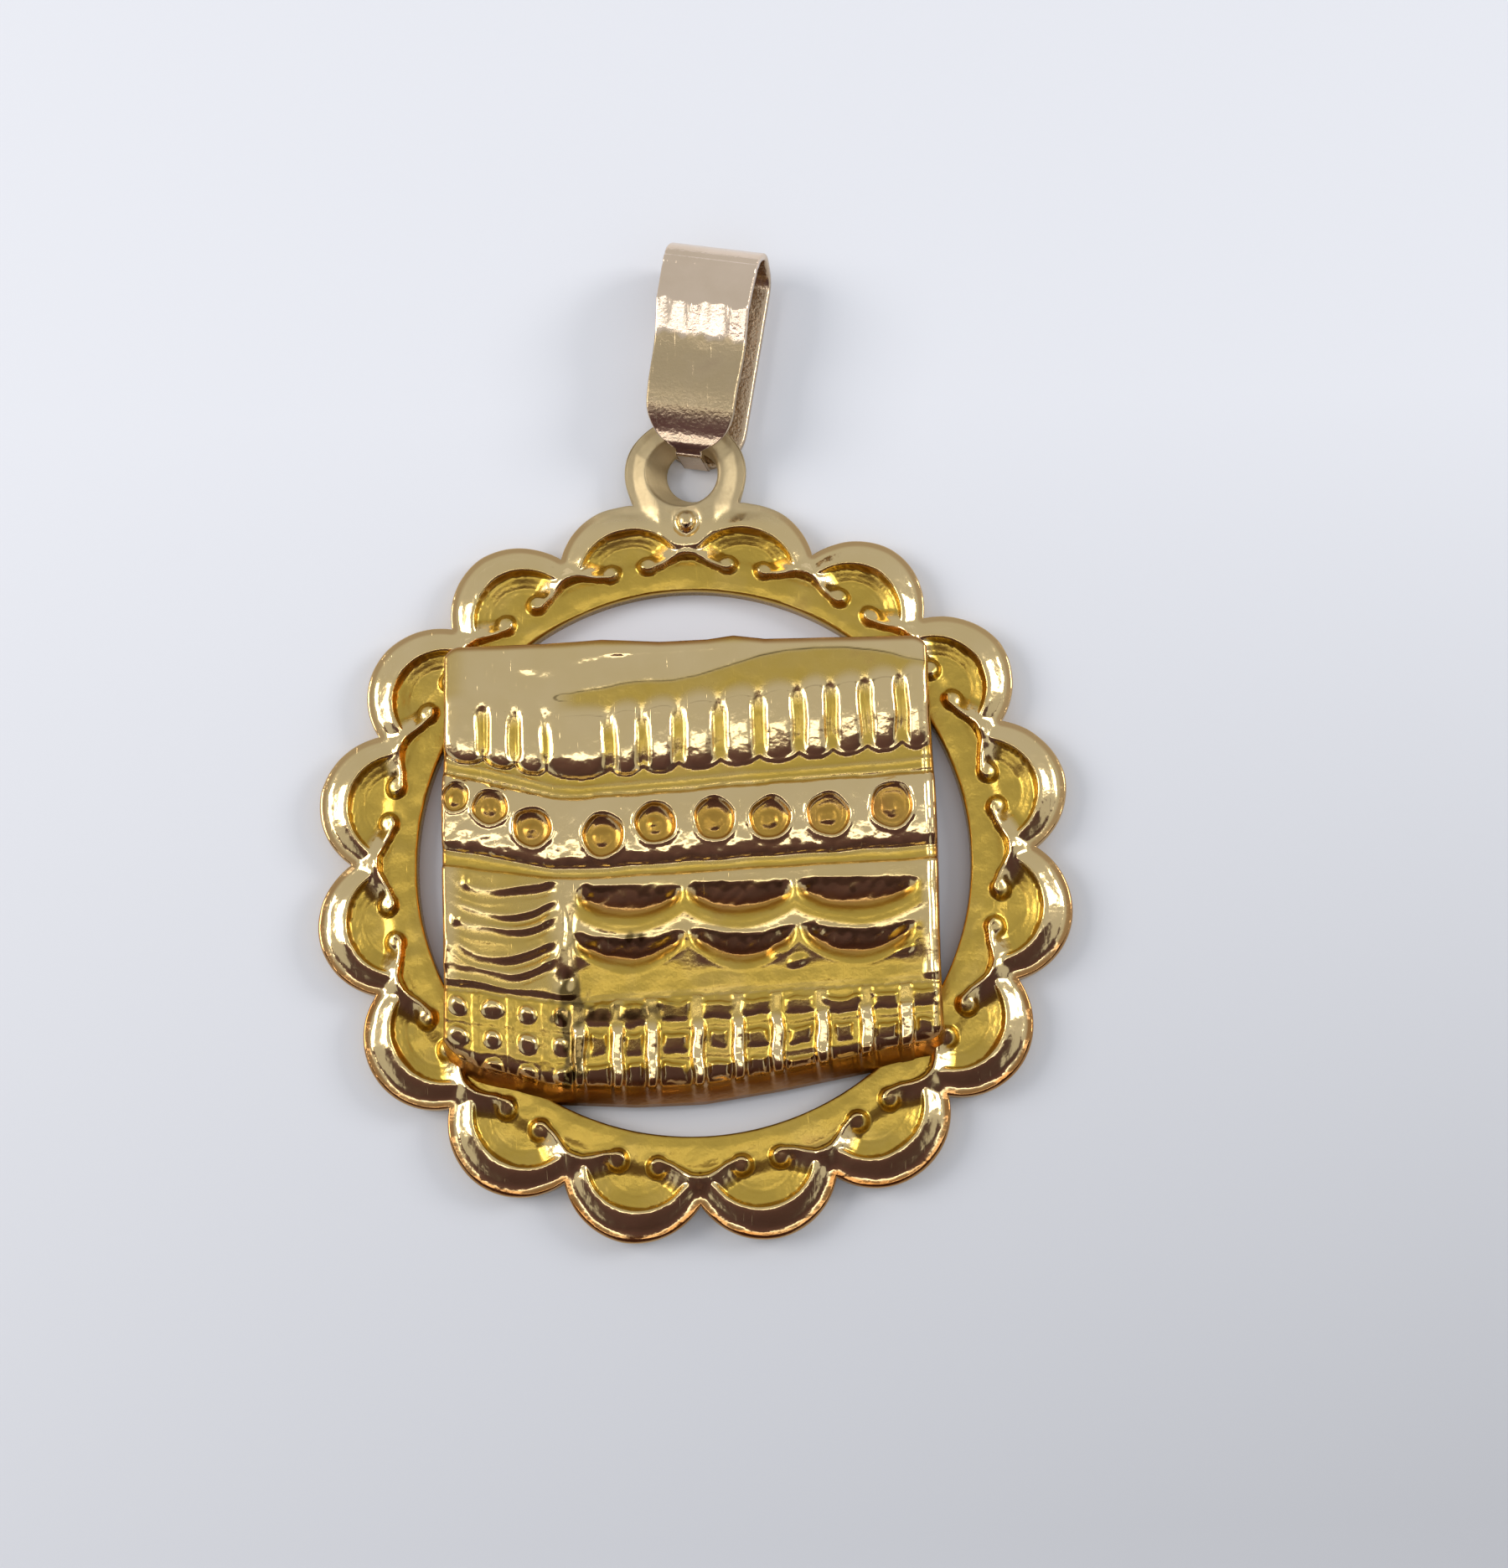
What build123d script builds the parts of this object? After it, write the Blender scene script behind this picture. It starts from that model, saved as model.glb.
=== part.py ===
from build123d import *
import math
import os

# Gold pendant: a medallion with a scalloped frame, a hanging loop and a relief plaque soldered into one
# piece, and the folded strap bail that swings in the loop.
# The medallion lies on its back: X to the right, Y towards the loop, Z out of the front, and the origin
# is the middle of the round opening, on the back.

# scalloped frame
lobe_count = 16
lobe_centre_radius = 12.7
lobe_radius = 3.12
opening_radius = 11.5
flange_width = 0.35
flange_top = 0.4
pocket_floor = 0.75
ridge_shoulder = 1.15
ridge_top = 1.45
ridge_slope = 0.22

# scroll motif, once on each lobe and once on each valley between two lobes
pocket_half_length = 1.7
pocket_half_width = 1.9
ridge_inner_offset = 0.2
scroll_ball_radius = 0.44
scroll_ball_spread = 1.72
scroll_ball_inset = 0.08
scroll_thickness = 0.78
bead_radius = 0.42
bead_rise = 0.25

# hanging loop on the top valley
loop_radius = 2.57
loop_rise = 2.35
loop_back = 0.6
loop_flange_top = 0.9
loop_top = 1.3
loop_neck_width = 4.1
loop_neck_foot_offset = 0.2
hole_mouth_radius = 1.68
hole_back_radius = 1.3
hole_back_shift = 0.3
hole_back_rise = 0.1

# relief plaque
plaque_width = 20.2
plaque_height = 18.95
plaque_shift_x = -0.1
plaque_shift_y = -0.62
plaque_back = 0.5
plaque_field = 2.1
band_rise = 0.42
wall_splay = 0.25
plaque_corner_radius = 0.7
band_margin = 0.25

# pleated cloth, rosettes, swags and coursed base on the plaque
pleat_gap = 0.55
rosette_radius = 0.74
rosette_boss_share = 0.45
swag_depth = 0.95
swag_low_share = 1.5
swag_high_share = 0.5
dimple_size = 0.78
dimple_step = 1.72
dimple_rows = 3
dimple_row_step = 1.3

# strap bail
strap_thickness = 0.3
strap_width_top = 4.1
strap_width_tip = 3.72
bail_reach = 8.1
bail_height = 3.3
bail_lean = 9.0
leaf_skew = 11.0
tip_drop_share = 0.92
neck_width = 1.1
neck_slack = 0.08
bail_floor_gap = 0.03
bail_side_shift = 0.5

# Outline of the plaque's front, clockwise from the top left, as shares of its width and height.
plaque_outline = [
    # across, up
    (-0.5, 0.5),
    (0.5, 0.5),
    (0.495, -0.38),
    (0.43, -0.415),
    (-0.23, -0.5),
    (-0.5, -0.39),
]

# The building's corner runs down the plaque here, as a share of its width.
corner_across = -0.24

# Raised bands: heights of the top and the bottom edge at the left side, the corner and the right side,
# as shares of the plaque's height.
band_table = {
    # name: (top left, top corner, top right, bottom left, bottom corner, bottom right)
    "roof": (0.49, 0.49, 0.49, 0.4, 0.368, 0.434),
    "pleats": (0.39, 0.357, 0.423, 0.252, 0.204, 0.25),
    "rosettes": (0.207, 0.157, 0.2, 0.06, -0.004, 0.043),
    "swags": (0.014, -0.036, 0.004, -0.228, -0.262, -0.236),
    "base": (-0.252, -0.284, -0.262, -0.37, -0.48, -0.375),
}

# Pleat grooves: place across, and the groove's top and bottom.
pleat_table = [
    (-0.418, 0.374, 0.248),
    (-0.353, 0.362, 0.236),
    (-0.288, 0.337, 0.224),
    (-0.159, 0.342, 0.208),
    (-0.09, 0.35, 0.211),
    (-0.018, 0.362, 0.216),
    (0.066, 0.374, 0.224),
    (0.142, 0.386, 0.232),
    (0.226, 0.395, 0.24),
    (0.291, 0.407, 0.244),
    (0.359, 0.415, 0.248),
    (0.439, 0.422, 0.252),
]

# Rosettes: place across and up, and radius as a share of the named one.
rosette_table = [
    (-0.47, 0.163, 0.72),
    (-0.401, 0.139, 0.95),
    (-0.317, 0.09, 1.02),
    (-0.173, 0.069, 1.02),
    (-0.067, 0.094, 1.0),
    (0.052, 0.098, 1.04),
    (0.165, 0.098, 1.06),
    (0.282, 0.102, 1.12),
    (0.411, 0.117, 1.16),
]

# Swags: left end, right end and height of the ends, and depth as a share of the named one.
swag_table = [
    (-0.47, -0.285, -0.022, 0.62),
    (-0.47, -0.27, -0.075, 0.62),
    (-0.47, -0.265, -0.125, 0.62),
    (-0.47, -0.27, -0.17, 0.62),
    (-0.225, -0.02, -0.046, 1.0),
    (-0.01, 0.2, -0.038, 1.0),
    (0.215, 0.45, -0.034, 1.0),
    (-0.235, -0.02, -0.143, 1.0),
    (0.0, 0.205, -0.135, 1.0),
    (0.22, 0.445, -0.13, 1.0),
]

# Side view of the strap's outer face, round from the foot under the loop's rim: place along the strap
# (below 0 as a share of the drop into the hole, above 0 of the reach), height and corner radius as
# shares of the bail's height.
strap_table = [
    (-1.0, 0.0, 0.14),
    (-1.0, 0.6, 0.16),
    (-0.8, 0.74, 0.1),
    (0.02, 0.86, 0.5),
    (0.5, 1.0, 1.3),
    (0.9, 0.88, 0.5),
    (1.0, 0.5, 0.3),
    (0.93, 0.0, 0.3),
]

# Inner edge of a scroll, from the valley's line out to the ball: place beside the line as a share of the
# ball's, and distance inside the ridge's inner radius as a share of the scroll's thickness.
scroll_table = [
    (0.0, -0.21),
    (0.4, 0.09),
    (0.6, 0.43),
    (0.87, 0.72),
]

# The ridge, the scrolls' balls and the loop's neck keep their places from the circle of the lobes' centres.
ridge_inner_radius = lobe_centre_radius + ridge_inner_offset
scroll_ball_centre_radius = lobe_centre_radius - scroll_ball_inset
loop_neck_foot_radius = lobe_centre_radius + loop_neck_foot_offset

valley_half_angle = 180 / lobe_count
lobe_half_gap = lobe_centre_radius * math.sin(math.radians(valley_half_angle))
valley_radius = lobe_centre_radius * math.cos(math.radians(valley_half_angle)) + math.sqrt(
    lobe_radius**2 - lobe_half_gap**2
)
lobe_turn = 90 + valley_half_angle
loop_centre_y = valley_radius + loop_rise
rim_centre_y = loop_centre_y + (loop_radius + hole_mouth_radius) / 2
rim_centre_z = (loop_back + loop_top) / 2


def across(share):
    return plaque_shift_x + share * plaque_width


def up(share):
    return plaque_shift_y + share * plaque_height


def scallop(inset):
    """Face of the frame's outline, drawn in by the inset."""
    places = PolarLocations(lobe_centre_radius, lobe_count, lobe_turn)
    return Circle(valley_radius - inset) + [place * Circle(lobe_radius - inset) for place in places]


def loopFace(inset):
    """Face of the loop and of the neck that joins it to the frame."""
    neck_length = loop_centre_y - loop_neck_foot_radius
    neck = Rectangle(loop_neck_width - 2 * inset, neck_length, align=(Align.CENTER, Align.MIN))
    return Pos(0, loop_centre_y) * Circle(loop_radius - inset) + Pos(0, loop_neck_foot_radius) * neck


def scrollFace(inset):
    """Two scrolls with ball ends that leave the valley at the top, one to each side."""
    inner = []
    outer = []
    for beside, inside in scroll_table:
        x = beside * scroll_ball_spread
        y = ridge_inner_radius - inside * scroll_thickness
        inner.append((x, y + inset))
        outer.append((x, y + scroll_thickness - inset))
    right = inner + outer[::-1]
    left = [(-x, y) for x, y in right]
    ball = Circle(scroll_ball_radius - inset)
    face = Polygon(*right, align=None) + Polygon(*left, align=None)
    face += Pos(scroll_ball_spread, scroll_ball_centre_radius) * ball
    return face + Pos(-scroll_ball_spread, scroll_ball_centre_radius) * ball


def ridgeFace(inset):
    """Face of all raised ridges of the frame, drawn in by the inset."""
    face = scallop(flange_width + inset) - Circle(ridge_inner_radius + inset)
    pocket = Ellipse(pocket_half_length + inset, pocket_half_width + inset)
    face -= [place * pocket for place in PolarLocations(lobe_centre_radius, lobe_count, lobe_turn)]
    scroll = scrollFace(inset)
    return face + [Rot(0, 0, k * 2 * valley_half_angle) * scroll for k in range(lobe_count)]


def slab(face, low, high):
    return Pos(0, 0, low) * extrude(face, high - low, dir=(0, 0, 1))


def hole():
    """Funnel through the loop, wider at the front and a little off centre at the back."""
    margin = loop_top - loop_back
    front = Pos(0, loop_centre_y, loop_top) * Circle(hole_mouth_radius)
    back = Pos(hole_back_shift, loop_centre_y + hole_back_rise, loop_back) * Circle(hole_back_radius)
    funnel = loft([back, front])
    front_run = slab(Pos(0, loop_centre_y) * Circle(hole_mouth_radius), loop_top, loop_top + margin)
    back_spot = Pos(hole_back_shift, loop_centre_y + hole_back_rise)
    back_run = slab(back_spot * Circle(hole_back_radius), loop_back - margin, loop_back)
    return funnel + front_run + back_run


def frame():
    """Frame and loop: flange, pocket floor and two steps of ridge, with the hole cut through."""
    opening = Circle(opening_radius)
    bead_y = valley_radius - bead_radius
    steps = [
        slab(scallop(flange_width) - opening, flange_top, pocket_floor),
        slab(ridgeFace(0), pocket_floor, ridge_shoulder),
        slab(ridgeFace(ridge_slope), ridge_shoulder, ridge_top),
        slab(loopFace(0), loop_back, loop_flange_top),
        slab(loopFace(flange_width), loop_flange_top, loop_top),
        Pos(0, bead_y, ridge_top + bead_rise - bead_radius) * Sphere(bead_radius),
    ]
    return slab(scallop(0) - opening, 0, flange_top) + steps - hole()


def plaqueFace(inset):
    """Face of the plaque's outline, with its two upper corners rounded."""
    points = [(across(x), up(y)) for x, y in plaque_outline]
    face = make_face(Polyline(*points, close=True))
    top_corners = face.vertices().sort_by(Axis.Y)[-2:]
    face = fillet(top_corners, plaque_corner_radius)
    return offset(face, -inset, kind=Kind.INTERSECTION) if inset else face


def bandFace(row):
    """Face of a raised band that bends at the building's corner."""
    top_left, top_corner, top_right, low_left, low_corner, low_right = row
    sides = [(-0.5, top_left), (corner_across, top_corner), (0.5, top_right)]
    back = [(0.5, low_right), (corner_across, low_corner), (-0.5, low_left)]
    return Polygon(*[(across(x), up(y)) for x, y in sides + back], align=None)


def pleatCuts():
    cuts = []
    for x, top, low in pleat_table:
        length = (top - low) * plaque_height
        cuts.append(Pos(across(x), up((top + low) / 2)) * SlotOverall(length, pleat_gap, rotation=90))
    return cuts


def rosetteCuts():
    cuts = []
    for x, y, share in rosette_table:
        radius = rosette_radius * share
        ring = Circle(radius) - Circle(radius * rosette_boss_share)
        cuts.append(Pos(across(x), up(y)) * ring)
    return cuts


def swagCuts():
    """Crescents that sag between their two ends."""
    cuts = []
    for left, right, y, share in swag_table:
        a = (across(left), up(y))
        b = (across(right), up(y))
        middle = (a[0] + b[0]) / 2
        depth = swag_depth * share
        low = ThreePointArc(a, (middle, a[1] - swag_low_share * depth), b)
        high = ThreePointArc(b, (middle, a[1] - swag_high_share * depth), a)
        cuts.append(make_face([low, high]))
    return cuts


def baseCuts():
    """Rows of square dimples that follow the two slopes of the base on both sides of the corner."""
    top_left, top_corner, top_right = (up(y) for y in band_table["base"][:3])
    left_x, corner_x, right_x = across(-0.5), across(corner_across), across(0.5)
    left_count = int((corner_x - left_x - band_margin) // dimple_step)
    right_count = int((right_x - corner_x - band_margin) // dimple_step)
    cuts = []
    for row in range(dimple_rows):
        drop = dimple_row_step * (row + 0.5)
        for k in range(-left_count, right_count):
            x = corner_x + (k + 0.5) * dimple_step
            if k < 0:
                y = top_corner + (x - corner_x) / (left_x - corner_x) * (top_left - top_corner)
            else:
                y = top_corner + (x - corner_x) / (right_x - corner_x) * (top_right - top_corner)
            cuts.append(Pos(x, y - drop) * Rectangle(dimple_size, dimple_size))
    return cuts


def plaque():
    """Plaque with splayed walls, its flat field and the raised bands cut by their pattern."""
    height = plaque_field - plaque_back
    taper = math.degrees(math.atan(wall_splay / height))
    body = Pos(0, 0, plaque_field) * extrude(plaqueFace(0), -height, taper=-taper)
    inner = plaqueFace(band_margin)
    cuts = {
        "roof": [],
        "pleats": pleatCuts(),
        "rosettes": rosetteCuts(),
        "swags": swagCuts(),
        "base": baseCuts(),
    }
    bands = []
    for name, row in band_table.items():
        face = (bandFace(row) & inner) - cuts[name]
        bands.append(slab(face, plaque_field, plaque_field + band_rise))
    return body + bands


def medallion():
    return frame() + plaque()


def strapPlan():
    """Plan of the strap: wide leaves with a round tip, narrowed to the neck that passes the hole."""
    drop = tip_drop_share * neckDrop()
    half_tip = strap_width_tip / 2
    half_top = strap_width_top / 2
    sides = Polygon(
        (-half_tip, half_tip - drop),
        (half_tip, half_tip - drop),
        (half_top, bail_reach + strap_thickness),
        (-half_top, bail_reach + strap_thickness),
        align=None,
    )
    tip = Pos(0, half_tip - drop) * Circle(half_tip)
    neck = Pos(0, -drop) * Rectangle(neck_width, 2 * drop)
    return sides + tip + neck


def neckDrop():
    """How far the strap's foot hangs below the middle of the loop's rim."""
    return hole_mouth_radius + neck_slack


def strapSide():
    """Side view of the strap as a closed band, in the plane of its length and its height."""
    points = []
    for along, height, radius in strap_table:
        v = along * (neckDrop() if along < 0 else bail_reach)
        points.append((v, height * bail_height, radius * bail_height))
    outer = make_face(Polyline(*[(v, h) for v, h, _ in points], close=True))
    for v, h, radius in points:
        corner = outer.vertices().sort_by_distance((v, h, 0))[0]
        outer = fillet(corner, radius)
    return outer - offset(outer, -strap_thickness, kind=Kind.ARC)


def bail():
    """Folded strap: its side view, run across and cut to the plan of the skewed leaves."""
    width = strap_width_top + 2 * bail_height
    side = Plane.YZ * strapSide()
    band = Pos(-width / 2, 0, 0) * extrude(side, width, dir=(1, 0, 0))
    skew = math.tan(math.radians(leaf_skew))
    height = 2 * bail_height
    start = -bail_height / 2
    plan = Pos(-skew * (start - bail_height / 2), 0, start) * strapPlan()
    column = extrude(plan, height * math.hypot(1, skew), dir=(-skew, 0, 1))
    solid = band & column
    turned = Rot(0, 0, -bail_lean) * solid
    return Pos(bail_side_shift, rim_centre_y, bail_floor_gap) * turned


def main():
    os.makedirs("parts", exist_ok=True)
    pieces = {"medallion": medallion(), "bail": bail()}
    for name, shape in pieces.items():
        solids = shape.solids()
        print(name, len(solids), "solid,", round(shape.volume, 2), "cubic mm")
        export_step(solids[0], f"parts/{name}.step")
    print("the bail turns about the rim at y", round(rim_centre_y, 3), "z", round(rim_centre_z, 3))


main()
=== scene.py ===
import bpy
import math
import numpy as np
from mathutils import Matrix


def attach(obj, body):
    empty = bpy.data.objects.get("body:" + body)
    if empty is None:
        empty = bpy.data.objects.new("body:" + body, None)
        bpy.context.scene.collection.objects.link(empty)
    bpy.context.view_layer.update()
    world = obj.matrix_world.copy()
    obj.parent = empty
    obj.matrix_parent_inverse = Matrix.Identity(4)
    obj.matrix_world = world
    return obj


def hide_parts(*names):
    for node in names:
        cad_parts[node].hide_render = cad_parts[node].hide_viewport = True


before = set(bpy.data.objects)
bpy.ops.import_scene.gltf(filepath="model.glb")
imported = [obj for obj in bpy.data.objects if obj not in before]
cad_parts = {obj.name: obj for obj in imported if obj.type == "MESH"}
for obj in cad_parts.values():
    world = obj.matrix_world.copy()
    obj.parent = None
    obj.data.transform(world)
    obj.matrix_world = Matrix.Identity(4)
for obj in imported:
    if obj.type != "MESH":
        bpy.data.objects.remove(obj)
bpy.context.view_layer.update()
print("loaded the frame")

# All lengths are in millimetres until a mesh is made.
mm = 0.001


def unit(x):
    return np.clip(x, 0, 1)


def ramp(low, high, x):
    t = unit((x - low) / (high - low))
    return t * t * (3 - 2 * t)


def smoothMax(a, b, blend):
    h = unit(0.5 + 0.5 * (a - b) / blend)
    return b * (1 - h) + a * h + blend * h * (1 - h)


def smoothMin(a, b, blend):
    return -smoothMax(-a, -b, blend)


def mix(a, b, share):
    return a + (b - a) * share


def bump(x, width):
    return np.exp(-(x / width) ** 2)


def dome(t):
    return np.sqrt(unit(1 - unit(1 - t) ** 2))


def along(knots, x):
    return np.interp(x, [k[0] for k in knots], [k[1] for k in knots])


def cellOf(places, x):
    # which gap between these places x lies in, and how far across it
    places = np.asarray(places)
    slot = np.clip(np.searchsorted(places, x) - 1, 0, len(places) - 2)
    return slot, (x - places[slot]) / (places[slot + 1] - places[slot])


def rightOf(path, span):
    # unit vectors to the right of a closed path
    ahead = np.roll(path, -span, 0) - np.roll(path, span, 0)
    right = np.stack([ahead[:, 1], -ahead[:, 0]], 1)
    return right / np.linalg.norm(right, axis=1)[:, None]


def toSegment(x, y, ax, ay, bx, by):
    dx, dy = bx - ax, by - ay
    t = unit(((x - ax) * dx + (y - ay) * dy) / (dx * dx + dy * dy))
    return np.hypot(x - ax - t * dx, y - ay - t * dy), t


def waves(x, y, length, seed, count=9):
    # a smooth random surface of about that wavelength, between -1 and 1
    draw = np.random.default_rng(seed)
    total = np.zeros_like(x)
    for _ in range(count):
        turn = draw.uniform(0, math.tau)
        step = draw.uniform(0.6, 1.6) * math.tau / length
        total += np.sin((x * math.cos(turn) + y * math.sin(turn)) * step + draw.uniform(0, math.tau))
    return total / math.sqrt(count) / 1.4


def bridge(faces, rows, closed=True):
    # quads between each row of points and the next
    for a, b in zip(rows, rows[1:] + rows[:1] * closed):
        faces.extend(zip(a[:-1], a[1:], b[1:], b[:-1]))


def makeMesh(name, points, faces, layers, body, node, material):
    mesh = bpy.data.meshes.new(name)
    mesh.from_pydata((np.asarray(points) * mm).tolist(), [], faces)
    mesh.validate()
    mesh.shade_smooth()
    for layerName, values in layers.items():
        layer = mesh.attributes.new(layerName, "FLOAT", "POINT")
        layer.data.foreach_set("value", np.asarray(values, np.float32))
    piece = bpy.data.objects.new(name, mesh)
    bpy.context.scene.collection.objects.link(piece)
    mesh.materials.append(material)
    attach(piece, body)
    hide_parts(node)
    triangles = sum(len(f) - 2 for f in faces)
    print("made", name, "with", triangles, "triangles")


# Scalloped frame. Across, outwards and round are seen from the middle of the round opening.
ring = {
    "lobes": 16,
    "lobeCentre": 12.8,
    "lobeRadius": 3.02,
    "opening": 11.5,
    "openingWander": 0.03,
    "columnsPerLobe": 70,
    "rows": 58,
    "flange": 0.8,  # height of the flat rim
    "flangeWidth": 0.1,
    "roll": 0.08,  # how far the flat rim rolls off to both sides
    "step": 0.83,  # height at the foot of the shoulder
    "shoulderWidth": 1.15,
    "shoulderCurve": 1.45,  # 1 is a straight slope, more is rounder
    "crest": 1.43,
    "crestSlope": (0.26, 0.24),  # width and steepness beside a pocket
    "wallWidth": 0.12,
    "floor": 0.72,
    "innerBand": 0.1,  # how much higher the smooth band beside the opening lies
    "pocket": (1.7, 1.97),  # half length outwards and across
    "pocketDish": 0.2,
    "pocketDepth": 0.06,
    # fine rings in the pocket: place as a share of its size, width, height
    "pocketRings": [(0.74, 0.035, 0.022), (0.6, 0.03, 0.016)],
    "stemNotch": 13.72,
    "stemFoot": 13.3,
    "stemHalf": 0.5,
    "stemReach": 0.2,  # how much further in the stem's middle runs
    "lobeWobble": (0.05, 4.0),  # size and wavelength of what makes each lobe different
    "dents": [(0.018, 2.2, 5), (0.006, 0.7, 6)],  # height, wavelength and seed
    "edgeDrop": 0.06,
    "tarnishAndShade": (0.85, 0.4),  # on the rim, and how much less of it at the top
    # how far each lobe and each cusp stands out from the ideal outline, counted round from the loop
    "lobeNudges": [
        -0.3, -0.02, -0.06, -0.06, -0.08, -0.08, 0.05, 0.05, 0.02, 0, 0.05, -0.02, 0, -0.02, -0.14, -0.31,
    ],
    "cuspNudges": [
        -0.2, -0.22, -0.1, -0.12, -0.12, -0.1, 0, 0, -0.05, 0.05, 0.05, 0, -0.08, -0.16, -0.2, -0.34,
    ],
    # tarnish on the rim, with painted shade making it darker at the bottom, and how much less of it at the
    # top
    "wall": [(0.035, 0.86), (0.045, 0.66), (0.0, 0.56), (0.03, 0.45), (0.03, 0.1), (-0.02, 0.0)],
}

scroll = {
    # middle line: across, outwards, half width
    "line": [
        (0.0, 13.48, 0.44), (0.45, 13.42, 0.44), (0.87, 13.2, 0.44), (1.27, 12.92, 0.42), (1.66, 12.7, 0.38),
    ],
    "rise": 0.46,
    "stemRise": 0.3,  # how much higher the scroll stands under a stem, as a share
    "blend": 0.1,
    # across the scroll, from -1 at its inner edge to 1 at its outer edge
    "ridgeAt": -0.75,
    "innerEdge": (-1.12, 0.34),  # place and width
    "outerEdge": (1.16, 0.2),
    "fall": (0.9, 1.85),  # how far the back of the scroll falls, and over what width
    "fillet": (0.13, 0.45),  # height and reach of the soft foot
    "ball": (1.7, 12.66, 0.5, 0.42),  # across, outwards, radius, rise
    "ballWear": 0.3,
}

loop = {
    "centre": (0.0, 16.66),
    "radius": 2.57,
    "flange": 0.92,
    "step": 0.04,
    "crest": 1.3,
    "flangeWidth": 0.3,
    "domeWidth": 0.62,
    "from": (14.2, 16.2),  # between these heights the frame's rim turns into the loop's
    "joinFrom": (12.2, 13.4),
    "halfWidth": 4.0,
    "neckHalf": 2.3,
    "neckTop": 1.2,
    "blends": (0.25, 0.5),  # of the loop and of the neck with the ring
    "mouth": (-0.12, 16.66, 1.53),
    "back": (0.32, 16.64, 1.12),
    "backHeight": 0.6,
    "backFrom": (14.9, 16.0),
    "dullFrom": (14.0, 15.4),
    "mouthEdge": (0.12, 0.14),
    "freeColumns": 150,
    "rows": 20,
    "funnelRows": 8,
    "bead": (0.0, 14.4, 0.42, 0.3),  # across, up, radius, rise
    "beadGroove": (0.1, 0.14),
}

halfTurn = math.pi / ring["lobes"]
lobeX = ring["lobeCentre"] * math.sin(halfTurn)
lobeY = ring["lobeCentre"] * math.cos(halfTurn)
cuspY = lobeY + math.sqrt(ring["lobeRadius"] ** 2 - lobeX ** 2)


def nudgeAt(angle):
    # angle in radians from the loop, counted to the left
    values = [v for pair in zip(ring["cuspNudges"], ring["lobeNudges"]) for v in pair]
    places = np.arange(len(values) + 1) * halfTurn
    return np.interp(angle % math.tau, places, values + values[:1])


def outlineRadius(angle):
    away = (angle % (2 * halfTurn)) - halfTurn
    ideal = ring["lobeCentre"] * np.cos(away)
    ideal += np.sqrt(ring["lobeRadius"] ** 2 - (ring["lobeCentre"] * np.sin(away)) ** 2)
    return ideal + nudgeAt(angle)


def ringFold(x, y):
    # place beside the nearest cusp of the outline: p across, q outwards, and the distance from the middle
    angle = np.arctan2(-x, y) % math.tau
    radius = np.hypot(x, y)
    radius = radius - nudgeAt(angle) * ramp(12.0, 14.6, radius)
    away = angle - np.round(angle / (2 * halfTurn)) * 2 * halfTurn
    return radius * np.sin(away), radius * np.cos(away), radius


def ringInset(p, q):
    # distance in from the scalloped outline, and the place seen from the lobe's centre
    p = np.abs(p)
    dx, dy = p - lobeX, q - lobeY
    out = dx * math.sin(halfTurn) + dy * math.cos(halfTurn)
    side = -dx * math.cos(halfTurn) + dy * math.sin(halfTurn)
    reach = math.atan2(lobeX * math.cos(halfTurn) + (cuspY - lobeY) * math.sin(halfTurn),
                       -lobeX * math.sin(halfTurn) + (cuspY - lobeY) * math.cos(halfTurn))
    toCusp = np.hypot(p, q - cuspY)
    inset = np.where(np.arctan2(side, out) <= reach, ring["lobeRadius"] - np.hypot(dx, dy), toCusp)
    return inset, out, side


def withLoop(x, y, reach):
    # adds the loop and its neck to a distance in from the ring's outline
    loopInset = loop["radius"] - np.hypot(x - loop["centre"][0], y - loop["centre"][1])
    neckInset = np.minimum(loop["neckHalf"] - np.abs(x), loop["centre"][1] + loop["neckTop"] - y)
    loopBlend, neckBlend = loop["blends"]
    joined = smoothMax(smoothMax(reach, loopInset, loopBlend), neckInset, neckBlend)
    atTop = ramp(*loop["joinFrom"], y) * (np.abs(x) < loop["halfWidth"])
    return reach + (np.maximum(joined, reach) - reach) * atTop


def rimShape(p, q, x, y, inset, toLoop):
    # outwards the sheet rolls off from its crest to a narrow flat rim
    lobe = ring["lobeRadius"]
    right, left = lobe - np.hypot(p - lobeX, q - lobeY), lobe - np.hypot(p + lobeX, q - lobeY)
    stem = ring["flangeWidth"] + 1.2 * (ring["stemNotch"] - q) - 0.5 * np.abs(p)
    shoulder = withLoop(x, y, smoothMax(smoothMax(right, left, 0.25), stem, 0.5))
    flange = mix(ring["flange"], loop["flange"], toLoop)
    crest = mix(ring["crest"], loop["crest"], toLoop)
    flangeWidth = mix(ring["flangeWidth"], loop["flangeWidth"], toLoop)
    rollWidth = mix(ring["shoulderWidth"], loop["domeWidth"], toLoop)
    step = mix(ring["step"], flange + loop["step"], toLoop)
    climb = unit((shoulder - flangeWidth - 0.06) / rollWidth)
    height = step + (crest - step) * (1 - (1 - climb) ** ring["shoulderCurve"])
    onShoulder = ramp(flangeWidth - 0.04, flangeWidth + 0.1, shoulder)
    height = flange + (height - flange) * onShoulder
    return height - ring["roll"] * np.clip((inset - 0.1) / 0.12, -1, 1) ** 2 * (1 - onShoulder)


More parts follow.
